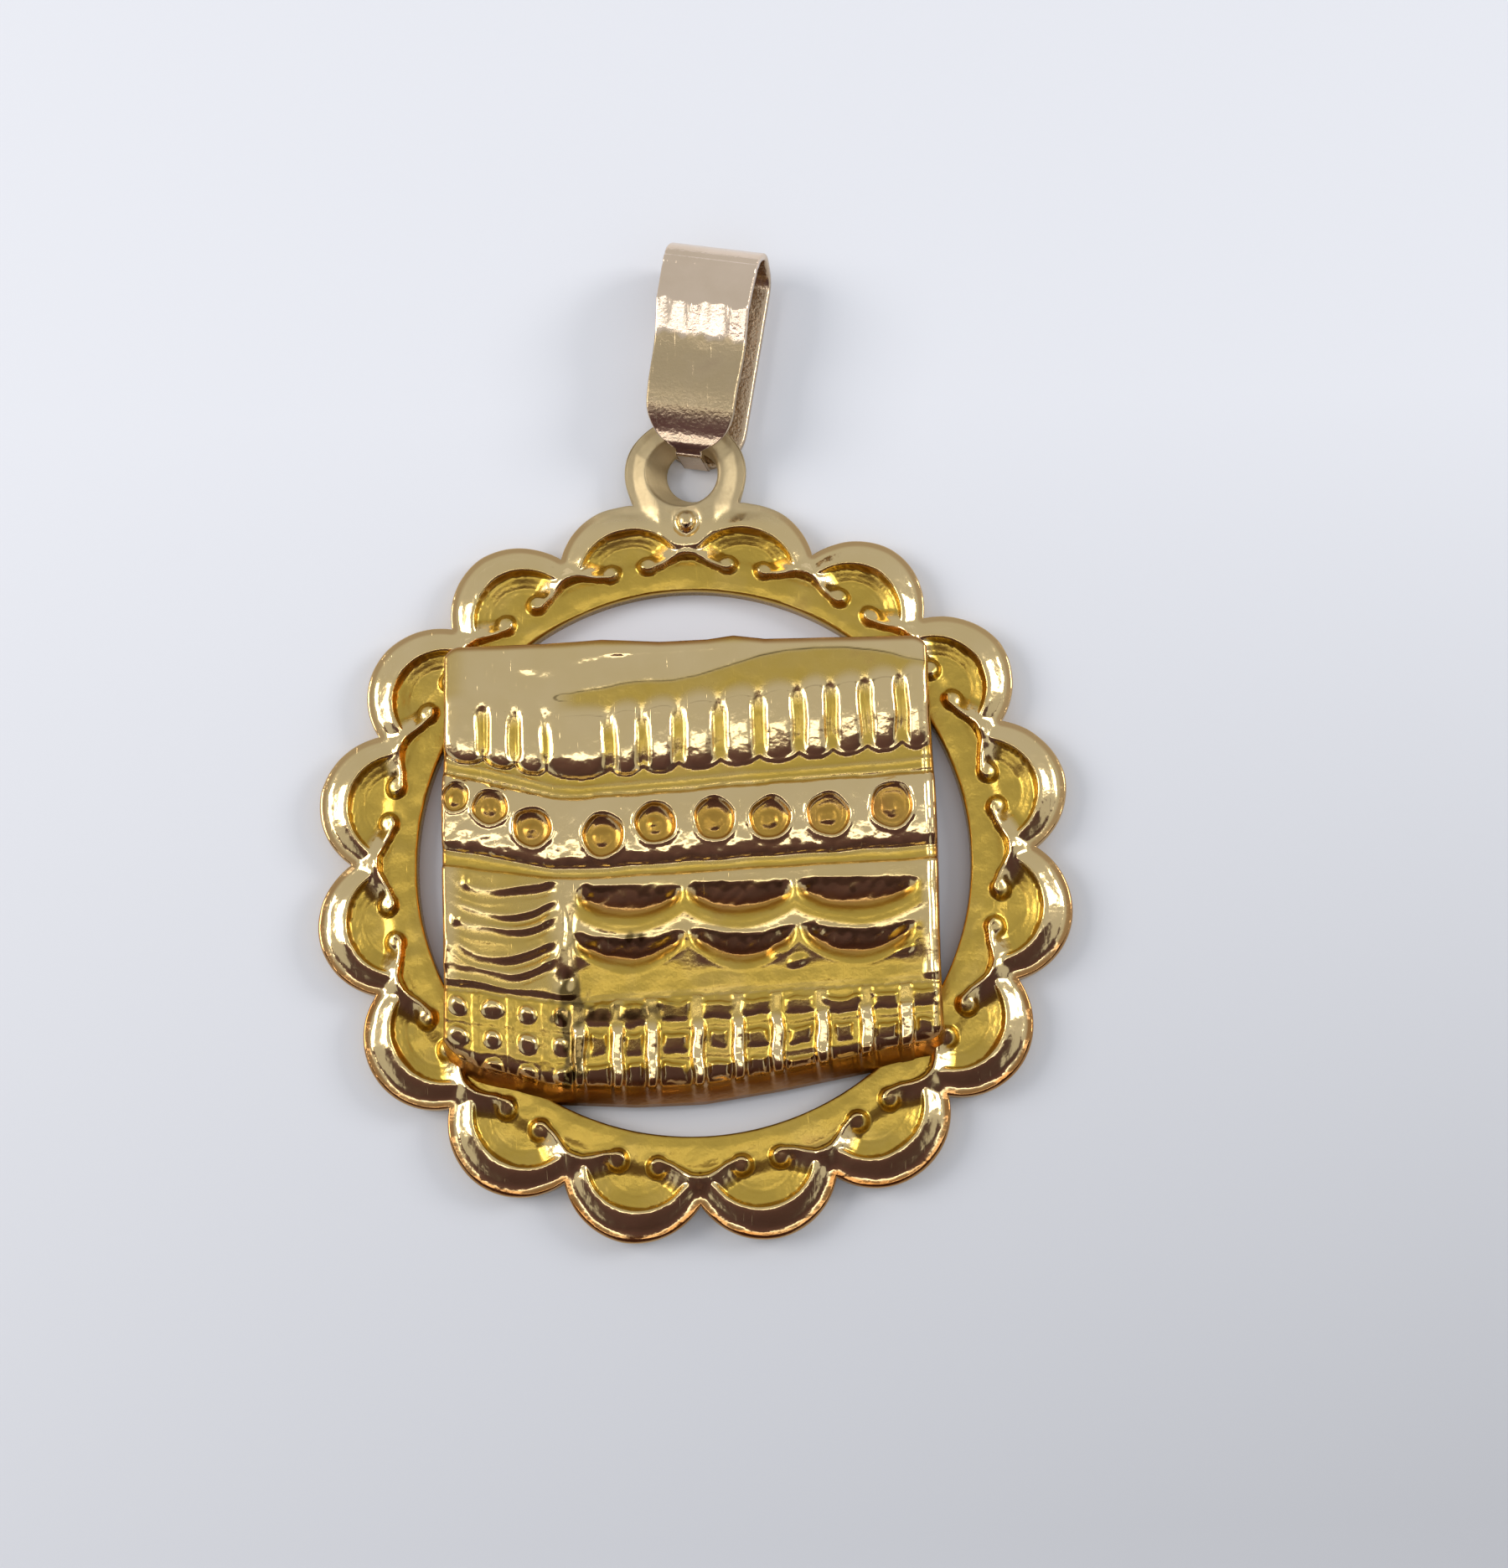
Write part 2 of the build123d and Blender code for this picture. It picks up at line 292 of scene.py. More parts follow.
def scrollShape(side, q, wobble):
    # profile across the scroll, 1 along its ridge, and the distance beyond its edge
    away = np.full_like(side, 9.0)
    u = np.full_like(side, 9.0)
    half = np.full_like(side, 0.4)
    for (ax, ay, ah), (bx, by, bh) in zip(scroll["line"][:-1], scroll["line"][1:]):
        gap, part = toSegment(side, q, ax, ay, bx, by)
        width = ah + (bh - ah) * part + 0.4 * wobble
        outwards = np.sign((bx - ax) * (q - ay) - (by - ay) * (side - ax))
        nearer = gap < away
        u = np.where(nearer, outwards * gap / width, u)
        half = np.where(nearer, width, half)
        away = np.minimum(away, gap)
    innerAt, innerWidth = scroll["innerEdge"]
    outerAt, outerWidth = scroll["outerEdge"]
    fall, fallWidth = scroll["fall"]
    inner = dome((u - innerAt) / innerWidth)
    outer = 1 - fall * unit((u - scroll["ridgeAt"]) / fallWidth)
    ridge = np.where(u < scroll["ridgeAt"], inner, outer) * dome((outerAt - u) / outerWidth)
    return ridge, away - half


def frontHeight(x, y):
    p, q, radius = ringFold(x, y)
    inset, lobeOut, lobeSide = ringInset(p, q)
    side = np.abs(p)
    inset = withLoop(x, y, inset)
    toLoop = ramp(*loop["from"], y) * (np.abs(x) < loop["halfWidth"])
    mass = rimShape(p, q, x, y, inset, toLoop)

    # each lobe and scroll is a little different
    wobble = ring["lobeWobble"][0] * waves(x, y, ring["lobeWobble"][1], 3)
    oval = np.hypot(lobeOut / ring["pocket"][0], lobeSide / ring["pocket"][1])
    pocketReach = (oval - 1) * ring["pocket"][0] - 0.6 * wobble
    onStem = bump(side, ring["stemHalf"])
    massReach = smoothMin(pocketReach, radius - ring["stemFoot"] + ring["stemReach"] * onStem, 0.15)
    massReach = massReach + ramp(14.6, 15.2, y)

    # floor: a dished pocket in each lobe, a smooth band inside the scrolls
    floor = ring["floor"] + ring["innerBand"] * ramp(13.2, 12.5, radius)
    floor += 0.02 * waves(x, y, 1.6, 8) - 0.05 * ramp(12.0, 11.5, radius)
    inPocket = ramp(12.7, 13.3, radius)
    floor += inPocket * (ring["pocketDish"] * ramp(0.62, 1.0, oval) - ring["pocketDepth"])
    for place, width, rise in ring["pocketRings"]:
        floor += inPocket * rise * bump(oval - place, width)

    # the crest slopes gently before it drops into a pocket
    crestWidth, steepness = ring["crestSlope"]
    mass -= steepness * np.clip(crestWidth - pocketReach, 0, crestWidth) * ramp(15.2, 14.6, y)
    height = mix(floor, mass, dome(massReach / (ring["wallWidth"] + 0.3 * onStem)))

    # scrolls, each with a soft foot and a ball at its end
    ridge, fromScroll = scrollShape(side, q, wobble)
    rise = scroll["rise"] * ridge * (1 + scroll["stemRise"] * onStem)
    height = smoothMax(height, floor + rise, scroll["blend"])
    footRise, footReach = scroll["fillet"]
    foot = smoothMax(massReach, -fromScroll, footReach)
    height = smoothMax(height, floor + footRise * ramp(-0.02, 0.3, foot), 0.08)
    ballX, ballY, ballRadius, ballRise = scroll["ball"]
    toBall = np.hypot(side - ballX - wobble, q - ballY)
    height = smoothMax(height, floor + ballRise * unit(1 - (toBall / ballRadius) ** 4), 0.03)

    worn = np.maximum(ramp(0.0, 0.2, massReach), ramp(0.15, 0.6, ridge))
    worn *= 1 - scroll["ballWear"] * ramp(ballRadius + 0.08, ballRadius - 0.08, toBall)
    worn = np.where(massReach > 0.2, 1.0, worn)
    # tarnish on the rim, and painted shade that makes it stronger towards the bottom than at the top
    tarnishAndShade, lessAtTop = ring["tarnishAndShade"]
    stained = (tarnishAndShade - lessAtTop * ramp(-8, 6, y)) * ramp(0.32, 0.2, inset) * (1 - 0.6 * toLoop)

    # a small bead sits where the top stem runs into the loop
    beadX, beadY, beadRadius, beadRise = loop["bead"]
    grooveDepth, grooveWidth = loop["beadGroove"]
    toBead = np.hypot(x - beadX, (y - beadY) * 0.88)
    height -= grooveDepth * bump(toBead - beadRadius * 1.15, grooveWidth) * (y > 12)
    height += beadRise * unit(1 - (toBead / beadRadius) ** 2) ** 0.6 * (y > 12)

    # rounded sheet edges at the outline, the opening and the loop's hole
    height -= ring["edgeDrop"] * (1 - dome(inset / 0.08))
    height -= ring["edgeDrop"] * (1 - dome((radius - ring["opening"]) / 0.07))
    toHole = np.hypot(x - loop["mouth"][0], y - loop["mouth"][1]) - loop["mouth"][2]
    height -= loop["mouthEdge"][0] * (1 - dome(toHole / loop["mouthEdge"][1])) * (y > 13)
    for size, length, seed in ring["dents"]:
        height += size * waves(x, y, length, seed)
    return height, worn, stained


def backHeight(y):
    return loop["backHeight"] * ramp(*loop["backFrom"], y)


def buildFrame(material):
    columns = ring["lobes"] * ring["columnsPerLobe"]
    angles = np.arange(columns) * math.tau / columns
    outer = outlineRadius(angles)
    share = np.linspace(0, 1, ring["rows"])
    inner = ring["opening"] + ring["openingWander"] * np.sin(angles * 3 + 1)
    radii = inner[:, None] + (outer - inner)[:, None] * share[None, :]
    x = -radii * np.sin(angles)[:, None]
    y = radii * np.cos(angles)[:, None]
    z, wearAndSheen, stainAndShade = frontHeight(x, y)
    points = []
    worn = []
    stained = []
    faces = []

    def put(px, py, pz, wearAndSheen, stainAndShade=0.3):
        points.append((px, py, pz))
        worn.append(wearAndSheen)
        stained.append(stainAndShade)
        return len(points) - 1

    front = np.arange(columns * ring["rows"]).reshape(columns, ring["rows"]).tolist()
    for values in zip(x.ravel(), y.ravel(), z.ravel(), wearAndSheen.ravel(), stainAndShade.ravel()):
        put(*values)
    bridge(faces, front)

    # the loop joins the outline where the outline lies inside the loop's circle
    ends = np.stack([x[:, -1], y[:, -1]], 1)
    inLoop = np.hypot(ends[:, 0] - loop["centre"][0], ends[:, 1] - loop["centre"][1]) < loop["radius"]
    joined = [c for c in range(-columns // 2, columns // 2) if inLoop[c % columns]]
    joined = [joined[0] - 1] + joined + [joined[-1] + 1]
    joinSet = set(c % columns for c in joined[:-1])

    # walls down to the back sheet, round the outline and the opening
    wall = ring["wall"]
    outX, outY = -np.sin(angles), np.cos(angles)
    backRing = []
    rows = []
    for c in range(columns):
        ex, ey = ends[c]
        low = backHeight(ey)
        column = [front[c][-1]]
        for step, part in wall:
            height = low + (z[c, -1] - low) * part
            column.append(put(ex + outX[c] * step, ey + outY[c] * step, height, 0.6))
        rows.append(column)
        backRing.append(column[-1])
    for c in range(columns):
        if c not in joinSet:
            bridge(faces, [rows[c], rows[(c + 1) % columns]], False)
    innerEdges = [[column[0] for column in front]]
    for part in (0.55, 0.0):
        innerEdges.append([put(x[c, 0], y[c, 0], z[c, 0] * part, 0.3) for c in range(columns)])
    innerEdges.append(backRing)
    bridge(faces, [edge + edge[:1] for edge in innerEdges], False)

    # the loop: columns round its hole, from the outline inwards
    cx, cy = loop["centre"]
    frontOuter = [front[c % columns][-1] for c in joined]
    backOuter = [backRing[c % columns] for c in joined]
    first = points[frontOuter[0]]
    last = points[frontOuter[-1]]
    start = math.atan2(last[1] - cy, last[0] - cx)
    stop = math.atan2(first[1] - cy, first[0] - cx)
    sweep = (stop - start) % math.tau
    if sweep < math.pi:
        sweep -= math.tau
    freeRows = [rows[joined[-1] % columns]]
    for k in range(1, loop["freeColumns"]):
        a = start + sweep * k / loop["freeColumns"]
        blend = min(k, loop["freeColumns"] - k) / 8
        reach = loop["radius"] + 0.02 * math.sin(5 * a) * min(1, blend)
        px, py = cx + reach * math.cos(a), cy + reach * math.sin(a)
        top = float(frontHeight(np.array([px]), np.array([py]))[0][0])
        low = backHeight(py)
        column = [put(px, py, top, 0.6)]
        for step, part in wall:
            height = low + (top - low) * part
            column.append(put(px + math.cos(a) * step, py + math.sin(a) * step, height, 0.6))
        freeRows.append(column)
        frontOuter.append(column[0])
        backOuter.append(column[-1])
    freeRows.append(rows[joined[0] % columns])
    bridge(faces, freeRows, False)

    mouthX, mouthY, mouthR = loop["mouth"]
    backX, backY, backR = loop["back"]
    grid = []
    for index, backIndex in zip(frontOuter, backOuter):
        ox, oy, _ = points[index]
        a = math.atan2(oy - cy, ox - cx)
        hx, hy = mouthX + mouthR * math.cos(a), mouthY + mouthR * math.sin(a)
        t = np.linspace(0, 1, loop["rows"] + 1)[1:]
        xs, ys = ox + (hx - ox) * t, oy + (hy - oy) * t
        zs = frontHeight(xs, ys)[0]
        column = [index]
        for px, py, pz in zip(xs, ys, zs):
            column.append(put(px, py, pz, 0.9, 0.1))
        # down the funnel and back out under the loop
        for s in np.linspace(0, 1, loop["funnelRows"] + 1)[1:]:
            r = mouthR + (backR - mouthR) * s ** 0.8
            px = mouthX + (backX - mouthX) * s + r * math.cos(a)
            py = mouthY + (backY - mouthY) * s + r * math.sin(a)
            pz = zs[-1] + (loop["backHeight"] - zs[-1]) * s
            column.append(put(px, py, pz, 0.25))
        bx, by, bz = points[backIndex]
        lx, ly, lz = points[column[-1]]
        for s in (0.33, 0.67):
            px, py = lx + (bx - lx) * s, ly + (by - ly) * s
            column.append(put(px, py, max(backHeight(py), lz + (bz - lz) * s), 0.4))
        column.append(backIndex)
        grid.append(column)
    bridge(faces, grid)
    dull = [float(ramp(*loop["dullFrom"], p[1])) for p in points]
    layers = {"worn": worn, "stained": stained, "grimedAndShaded": [0.0] * len(worn), "dull": dull}
    makeMesh("frame", points, faces, layers, "medallion", "medallion", material)


# Relief plaque. Lines that bend at the building's corner have their heights at the left side, at the corner
# and at the right side.
plate = {
    "left": -10.2,
    "right": 9.98,
    "cornerX": -5.1,
    "columns": 330,
    "rows": 285,
    "field": 2.1,
    "ground": 0.03,
    "foot": 0.5,
    "corner": 0.7,
    "wander": 0.035,  # how far the hand-drawn lines wander
    "lines": {
        "pleatTop": (6.62, 5.95, 7.5),
        "pleatLow": (4.2, 3.2, 4.12),
        "ledgeTop": (4.08, 2.8, 3.6),
        "ledgeLow": (3.62, 2.42, 3.17),
        "rosetteLow": (0.4, -0.62, 0.02),
        "beltTop": (0.22, -0.74, -0.12),
        "beltLow": (-0.35, -1.1, -0.6),
        "plinthTop": (-5.08, -5.86, -5.38),
        "plinthLow": (-5.42, -6.12, -5.65),
    },
    "bottomEdge": [
        (-10.2, -7.8), (-8.8, -8.6), (-5.8, -9.4), (-2.5, -9.6), (0.2, -9.55), (3.4, -9.1), (9.98, -7.9),
    ],
    "topEdge": [
        (-10.2, 8.85), (-6.0, 8.9), (-3.6, 9.02), (-1.2, 8.86), (0.8, 8.9), (1.9, 9.04), (3.2, 8.86),
        (9.98, 8.82),
    ],
    "rim": (9.64, 0.07, 0.08),  # raised line down the right side: across, width, height
    "dents": [(0.012, 3.0, 31), (0.004, 0.9, 32)],  # height, wavelength and seed
    "edgeWidths": (0.3, 0.42, 0.2),  # rounding at the top, the bottom and the sides
    "edgeDrop": 0.3,
    "splay": (0.14, 0.5),  # how far the walls lean out, and how much more below
    "wallRows": (0.12, 0.3, 0.55, 0.8, 1.0),
    # painted shade on the walls, as a share of the tarnish colour
    "wallShade": 0.95,
}

ledges = {
    # upper line, lower line, strength of the lips
    "strips": [("ledgeTop", "ledgeLow", 1), ("beltTop", "beltLow", 1), ("plinthTop", "plinthLow", 0.3)],
    "rise": 0.08,
    "lipRise": 0.06,
    "lipWidth": 0.08,
}

roof = {
    "height": 0.5,
    "fall": 0.03,
    "crease": [
        (-5.4, 6.6), (-2.8, 7.05), (-0.6, 7.15), (0.3, 7.28), (1.9, 7.8), (3.0, 8.12), (4.1, 8.3),
        (5.2, 8.38), (6.5, 8.36), (7.6, 8.22), (8.4, 8.04), (9.0, 7.85), (9.98, 7.6),
    ],
    "creaseEnd": (-5.1, 6.47, 0.45, 0.17),  # across, up, half length, half width
    "creaseShade": 0.6,
    "strip": 0.02,  # how much lower the strip under the crease lies
    # shallow steps: left end, right end, width
    "dents": [(-6.7, 7.62, -5.9, 7.5, 0.45), (-4.6, 8.0, -2.9, 8.22, 0.28), (-2.9, 8.22, 1.0, 8.36, 0.14)],
    "dentDepth": 0.22,
}

pleat = {
    # grooves: place across, half width, top and bottom
    "grooves": [
        (-8.54, 0.3, 6.46, 4.2), (-7.23, 0.3, 6.23, 3.95), (-5.95, 0.2, 5.77, 3.75), (-3.31, 0.3, 5.85, 3.42),
        (-1.92, 0.3, 6.0, 3.5), (-0.46, 0.32, 6.23, 3.58), (1.23, 0.32, 6.46, 3.72), (2.85, 0.32, 6.69, 3.84),
        (4.5, 0.32, 6.9, 3.96), (5.85, 0.3, 7.1, 4.02), (7.3, 0.3, 7.28, 4.1), (8.77, 0.3, 7.38, 4.16),
    ],
    "grooveFloor": 0.33,
    "grooveLines": 0.045,
    "height": 0.36,
    "crown": (0.08, 0.1),  # rise of the round and of the sharper part of the crown
}

rosette = {
    # place, radius and depth of the bowl
    "places": [
        (-9.62, 2.46, 0.55, 0.05), (-8.2, 2.0, 0.72, 0.07), (-6.5, 1.08, 0.8, 0.17),
        (-3.6, 0.69, 0.85, 0.14), (-1.46, 1.15, 0.82, 0.17), (0.95, 1.23, 0.84, 0.08),
        (3.23, 1.23, 0.84, 0.1), (5.6, 1.3, 0.86, 0.06), (8.2, 1.6, 0.88, 0.04),
    ],
    "bowlTop": 0.22,
    "bowlPower": 7,
    "tarnishAndShade": 0.45,
    "rimRise": 0.07,
    "bossRise": 0.1,
    "ringRise": 0.03,
}

cloth = {
    # festoons on the wide face: the cusps across, height at both sides, sag of the dark hollow's upper and
    # lower side, and strength of the hem lines
    "festoons": [
        ((-4.85, -0.35, 4.1, 9.2), (-1.4, -1.25), 0.0, 0.75, 1.0),
        ((-5.05, -0.25, 4.25, 9.05), (-3.15, -2.95), 0.45, 0.5, 0.4),
    ],
    "height": 0.36,
    "fall": 0.24,  # how much lower the cloth hangs towards the plinth
    "hollow": 0.4,
    "lip": 0.05,
    "hems": [(0.32, 0.09, 0.03), (0.58, 0.09, 0.03)],  # below the hollow, width, height
    "lastHem": (0.86, 0.17, 0.035),
    "cuspRise": 0.07,
    "flatSpots": [(4.15, -4.85), (8.5, -4.5), (3.3, -4.4)],
    "flatRise": 0.14,
    "tuck": (-4.55, -4.05, 0.1),  # small raised tuck beside the corner: across, up, height
    # folds on the narrow face: height of the ends, sag and the knots at the ends
    "folds": [
        (-0.95, 0.5, 0.1), (-1.85, 0.6, 0.0), (-2.5, 0.6, 0.14), (-3.45, 0.75, 0.08), (-4.25, 0.6, 0.12),
    ],
    "foldEnds": (-9.8, 4.2),  # left end and length
    "foldRise": (0.025, 0.1),  # at the left, and what the deeper right end adds
    "foldHollow": 0.22,
    "pillarRise": 0.06,
    "pillarHollow": 0.1,
}

plinth = {
    "ribs": [-4.7, -3.15, -1.77, 0.08, 1.7, 3.25, 5.08, 6.85, 8.46],
    "ribHalf": 0.27,
    "ribRise": 0.28,
    "height": 0.2,
    "course": 1.2,
    "bossRise": 0.46,
    "blockWidth": 1.4,
    "blockRise": 0.5,
}

cornerX = plate["cornerX"]


def line(name, x):
    left, corner, right = plate["lines"][name]
    knots = [plate["left"], cornerX - 0.5, cornerX + 0.5, plate["right"]]
    return np.interp(x, knots, [left, corner + 0.04, corner, right])


def addLedges(x, y, skin):
    # flat strips with a thin bright lip along each edge
    for top, low, crisp in ledges["strips"]:
        upper, lower = line(top, x), line(low, x)
        skin["z"] += ledges["rise"] * ramp(-0.1, 0.1, y - lower) * ramp(0.1, -0.1, y - upper)
        lips = bump(y - upper, ledges["lipWidth"]) + bump(y - lower, ledges["lipWidth"])
        skin["z"] += ledges["lipRise"] * crisp * lips
        skin["worn"] = np.maximum(skin["worn"], 0.35 * lips)


def roofShape(x, y, skin):
    # softly dented, with a fine crease and a strip under it on the wide face
    left = ramp(cornerX + 0.8, cornerX - 0.8, x)
    creaseY = along(roof["crease"], x)
    overCrease = ramp(-0.2, 0.1, y - creaseY)
    roofZ = roof["height"] - roof["fall"] * (y - 7.0) + 0.03 * np.sin((y - 6.4) * 1.3)
    roofZ += 0.02 * waves(x, y, 6.0, 21) - 0.03 * bump(x - cornerX - 0.4, 0.9)
    for ax, ay, bx, by, deep in roof["dents"]:
        beside = y - ay - (by - ay) * unit((x - ax) / (bx - ax))
        reach = ramp(0.8, 0.0, np.maximum(ax - x, x - bx)) * bump(beside, 0.45)
        roofZ += roof["dentDepth"] * deep * reach * np.clip(beside / deep, -0.5, 0.5)
    stripZ = roofZ - roof["strip"] + roof["strip"] * (creaseY - y)
    upperZ = mix(stripZ, roofZ, overCrease)
    upperZ -= 0.01 * bump(y - creaseY + 0.04, 0.09) * (1 - left)
    endX, endY, halfLength, halfWidth = roof["creaseEnd"]
    end = np.hypot((x - endX) / halfLength, (y - endY) / halfWidth)
    # painted shade: a dark line along the crease and round its end
    grimeAndShade = np.where(x > -5.0, bump(y - creaseY + 0.05, 0.045), bump(end - 1, 0.22)) * (x > -5.7)
    skin["lined"] += roof["creaseShade"] * grimeAndShade
    worn = np.maximum(0.1 + 0.9 * overCrease, left) * ramp(8.9, 8.55, y)
    return mix(upperZ, roofZ, left), worn * (1 - 0.5 * ramp(-9.0, -9.9, x))


def addPleats(x, y, skin):
    # round across between the grooves, rolling off to a dark rounded end, with the roof above them
    upperZ, upperWorn = roofShape(x, y, skin)
    grooves = pleat["grooves"]
    _, part = cellOf([plate["left"] - 0.05] + [g[0] for g in grooves] + [plate["right"] - 0.1], x)
    across = np.abs(2 * part - 1)
    lowEnd = line("pleatLow", x) - 0.05 + 0.3 * across ** 2.5
    topEnd = line("pleatTop", x) + 0.02
    cut = np.zeros_like(x)
    fine = np.zeros_like(x)
    for gx, half, top, low in grooves:
        overEnd = np.maximum(np.maximum((y - top + 0.8) * 0.6, low + 0.3 - y), 0)
        into = ramp(half * 1.15, half * 0.45, np.hypot(x - gx, overEnd * half / 0.4))
        cut = np.maximum(cut, into * ramp(top + 0.1, top - 1.1, y))
        fine += bump(x - gx + 0.07, 0.05) + bump(x - gx - 0.1, 0.04)
        inGroove = ramp(top - 0.1, top - 0.7, y) * ramp(low, low + 0.4, y)
        # painted shade: dark lines along both edges of the groove
        grimeAndShade = 0.45 * bump(x - gx - half * 1.05, 0.06) + 0.3 * bump(x - gx + half * 1.2, 0.05)
        skin["lined"] += inGroove * grimeAndShade
    roundRise, sharpRise = pleat["crown"]
    crown = pleat["height"] + roundRise * np.sqrt(unit(1 - (across * 0.94) ** 2))
    crown += sharpRise * (1 - across ** 2) + 0.006 * waves(x, y, 1.3, 24)
    crown += (0.02 + 0.5 * (upperZ - roof["height"])) * ramp(topEnd - 1.6, topEnd, y)
    # painted shade in a fine arc near the top of each pleat
    arc = y - topEnd + 0.32 + 0.2 * across ** 2
    skin["lined"] += 0.3 * bump(arc, 0.05) * ramp(1.0, 0.8, across)
    pleatZ = crown - cut * (crown - pleat["grooveFloor"]) + pleat["grooveLines"] * fine * cut
    intoRoof = ramp(-0.45, 0.15, y - topEnd - 0.2 + 0.3 * across ** 2)
    both = mix(pleatZ, upperZ, intoRoof)
    # the roll down to the rounded ends: steep first, then gentle
    s = np.clip(y - lowEnd, 0, None)
    reach = 0.13 + 0.08 * ramp(-7.2, -5.0, x) + 0.08 * bump(x - cornerX, 1.0)
    gentleLength = 0.5 + 0.9 * ramp(-4.0, 2.0, x)
    gentle = np.where(s < gentleLength, s, gentleLength + 0.4 * (1 - np.exp(-(s - gentleLength) / 0.4)))
    roll = 0.19 * (gentle - gentleLength - 0.4) - 0.75 * reach * np.exp(-s / reach)
    body = dome((y - lowEnd + 0.03) / 0.06)
    skin["z"] = mix(skin["z"], np.maximum(both + roll, 0.12), body)
    bodyWorn = body * mix(1 - cut, upperWorn, intoRoof)
    skin["worn"] = np.maximum(skin["worn"] * (1 - body), bodyWorn)


def addRosettes(x, y, skin):
    # convex band with rosettes, each a bowl with a boss and a fine ring
    top, low = line("ledgeLow", x) - 0.1, line("rosetteLow", x)
    wide = ramp(cornerX - 0.6, cornerX + 0.6, x)
    s = np.clip(y - low + 0.05 * waves(x, y, 0.6, 29) - 0.05, 0, None)
    reach = 0.11 + 0.06 * wide * (1 - 0.5 * ramp(1.0, 8.0, x))
    band = 0.95 * reach * (1 - np.exp(-s / reach)) + 0.19 * (1 - np.exp(-s / 0.9)) + 0.1
    band = band * dome((top - y) / 0.6) + 0.03 * bump(x - cornerX, 0.5) + 0.012 * waves(x, y, 0.8, 25)
    bandWorn = ramp(0.05, 0.22, band)
    for cx, cy, radius, bowlDepth in rosette["places"]:
        rho = np.hypot(x - cx, (y - cy) * 0.96) / radius
        turn = np.arctan2(y - cy, x - cx)
        rho = rho * (1 + 0.03 * np.sin(turn * 2 + cx) + 0.02 * np.sin(turn * 5 + cx * 3))
        deep = np.hypot(x - cx + 0.12 * radius, y - cy + 0.14 * radius) / radius
        bowl = rosette["bowlTop"] - bowlDepth * (1 - np.clip(deep, 0, 1.15) ** rosette["bowlPower"])
        dish = ramp(1.04, 0.9, rho)
        skin["stained"] = np.maximum(skin["stained"], rosette["tarnishAndShade"] * dish)
        band = mix(band, np.minimum(bowl, band), dish)
        band += rosette["rimRise"] * bump(rho - 1.06, 0.1)
        toBoss = np.hypot(x - cx + 0.06, y - cy + 0.1) / radius
        boss = unit(1 - (toBoss / 0.5) ** 2) * (1 + 0.4 * waves(x, y, 0.5, 33))
        band += rosette["bossRise"] * boss
        band += rosette["ringRise"] * bump(rho - 0.72, 0.07)
        bandWorn *= 1 - ramp(1.02, 0.92, rho)
    inBand = ramp(-0.06, 0.04, y - low) * ramp(0.06, -0.04, y - top)
    skin["z"] = mix(skin["z"], band + 0.08, inBand)
    skin["worn"] = mix(skin["worn"], bandWorn, inBand)


def festoonShape(x, y, wide, skin):
    # a hollow under each chord darkened with painted shadow, then a hem with fine folds
    height = np.zeros_like(x)
    worn = 0.8 * np.ones_like(x)
    for cusps, ends, upperSag, sagDepth, hemLines in cloth["festoons"]:
        t = unit(cellOf(cusps, x)[1])
        sag = np.sin(math.pi * t) ** 0.9
        hollow = ramp(0.0, 0.45, sag) * wide
        ragged = 0.05 * waves(x, y, 0.6, 28) - 0.1 * (t - 0.5)
        below = np.interp(x, [cusps[0], cusps[-1]], ends) - upperSag * sag - y
        foot = 0.3 + sagDepth * sag
        fall = unit((below + ragged) / foot)
        height -= cloth["hollow"] * ramp(-0.1, 1.05, fall) * hollow
        height += cloth["hollow"] * hollow * ramp(0.0, 0.6, below - foot)
        lipAt = ramp(0.7, 0.55, t) * ramp(0.1, 0.25, t)
        height += cloth["lip"] * wide * bump(below, 0.07) * lipAt
        for away, width, rise in cloth["hems"]:
            height += rise * hemLines * wide * bump(below - foot - away, width)
        away, width, rise = cloth["lastHem"]
        height += rise * hemLines ** 3 * wide * bump(below - foot - away, width)
        # painted shadow in the hollow under the chord, and a painted dark line along the hem
        shadow = ramp(-0.02, 0.1, fall) * ramp(0.55, 0.25, fall + 0.2 * waves(x, y, 0.7, 36))
        skin["lined"] += 0.5 * hollow * shadow
        skin["lined"] += 0.25 * hemLines * wide * bump(below - foot - 0.45, 0.05)
        tarnishAndShade = 0.7 * hollow * ramp(0.45, 0.85, fall) * ramp(0.35, 0.0, below - foot)
        skin["stained"] = np.maximum(skin["stained"], tarnishAndShade)
        inHem = ramp(-0.15, 0.05, below - foot) * ramp(1.0, 0.9, (below - foot) * hemLines)
        worn = worn * (1 - inHem * wide)
        cusp = bump(sag, 0.25) * ramp(-0.1, 0.1, below) * ramp(0.7, 0.4, below)
        height += cloth["cuspRise"] * wide * cusp
    return height, worn


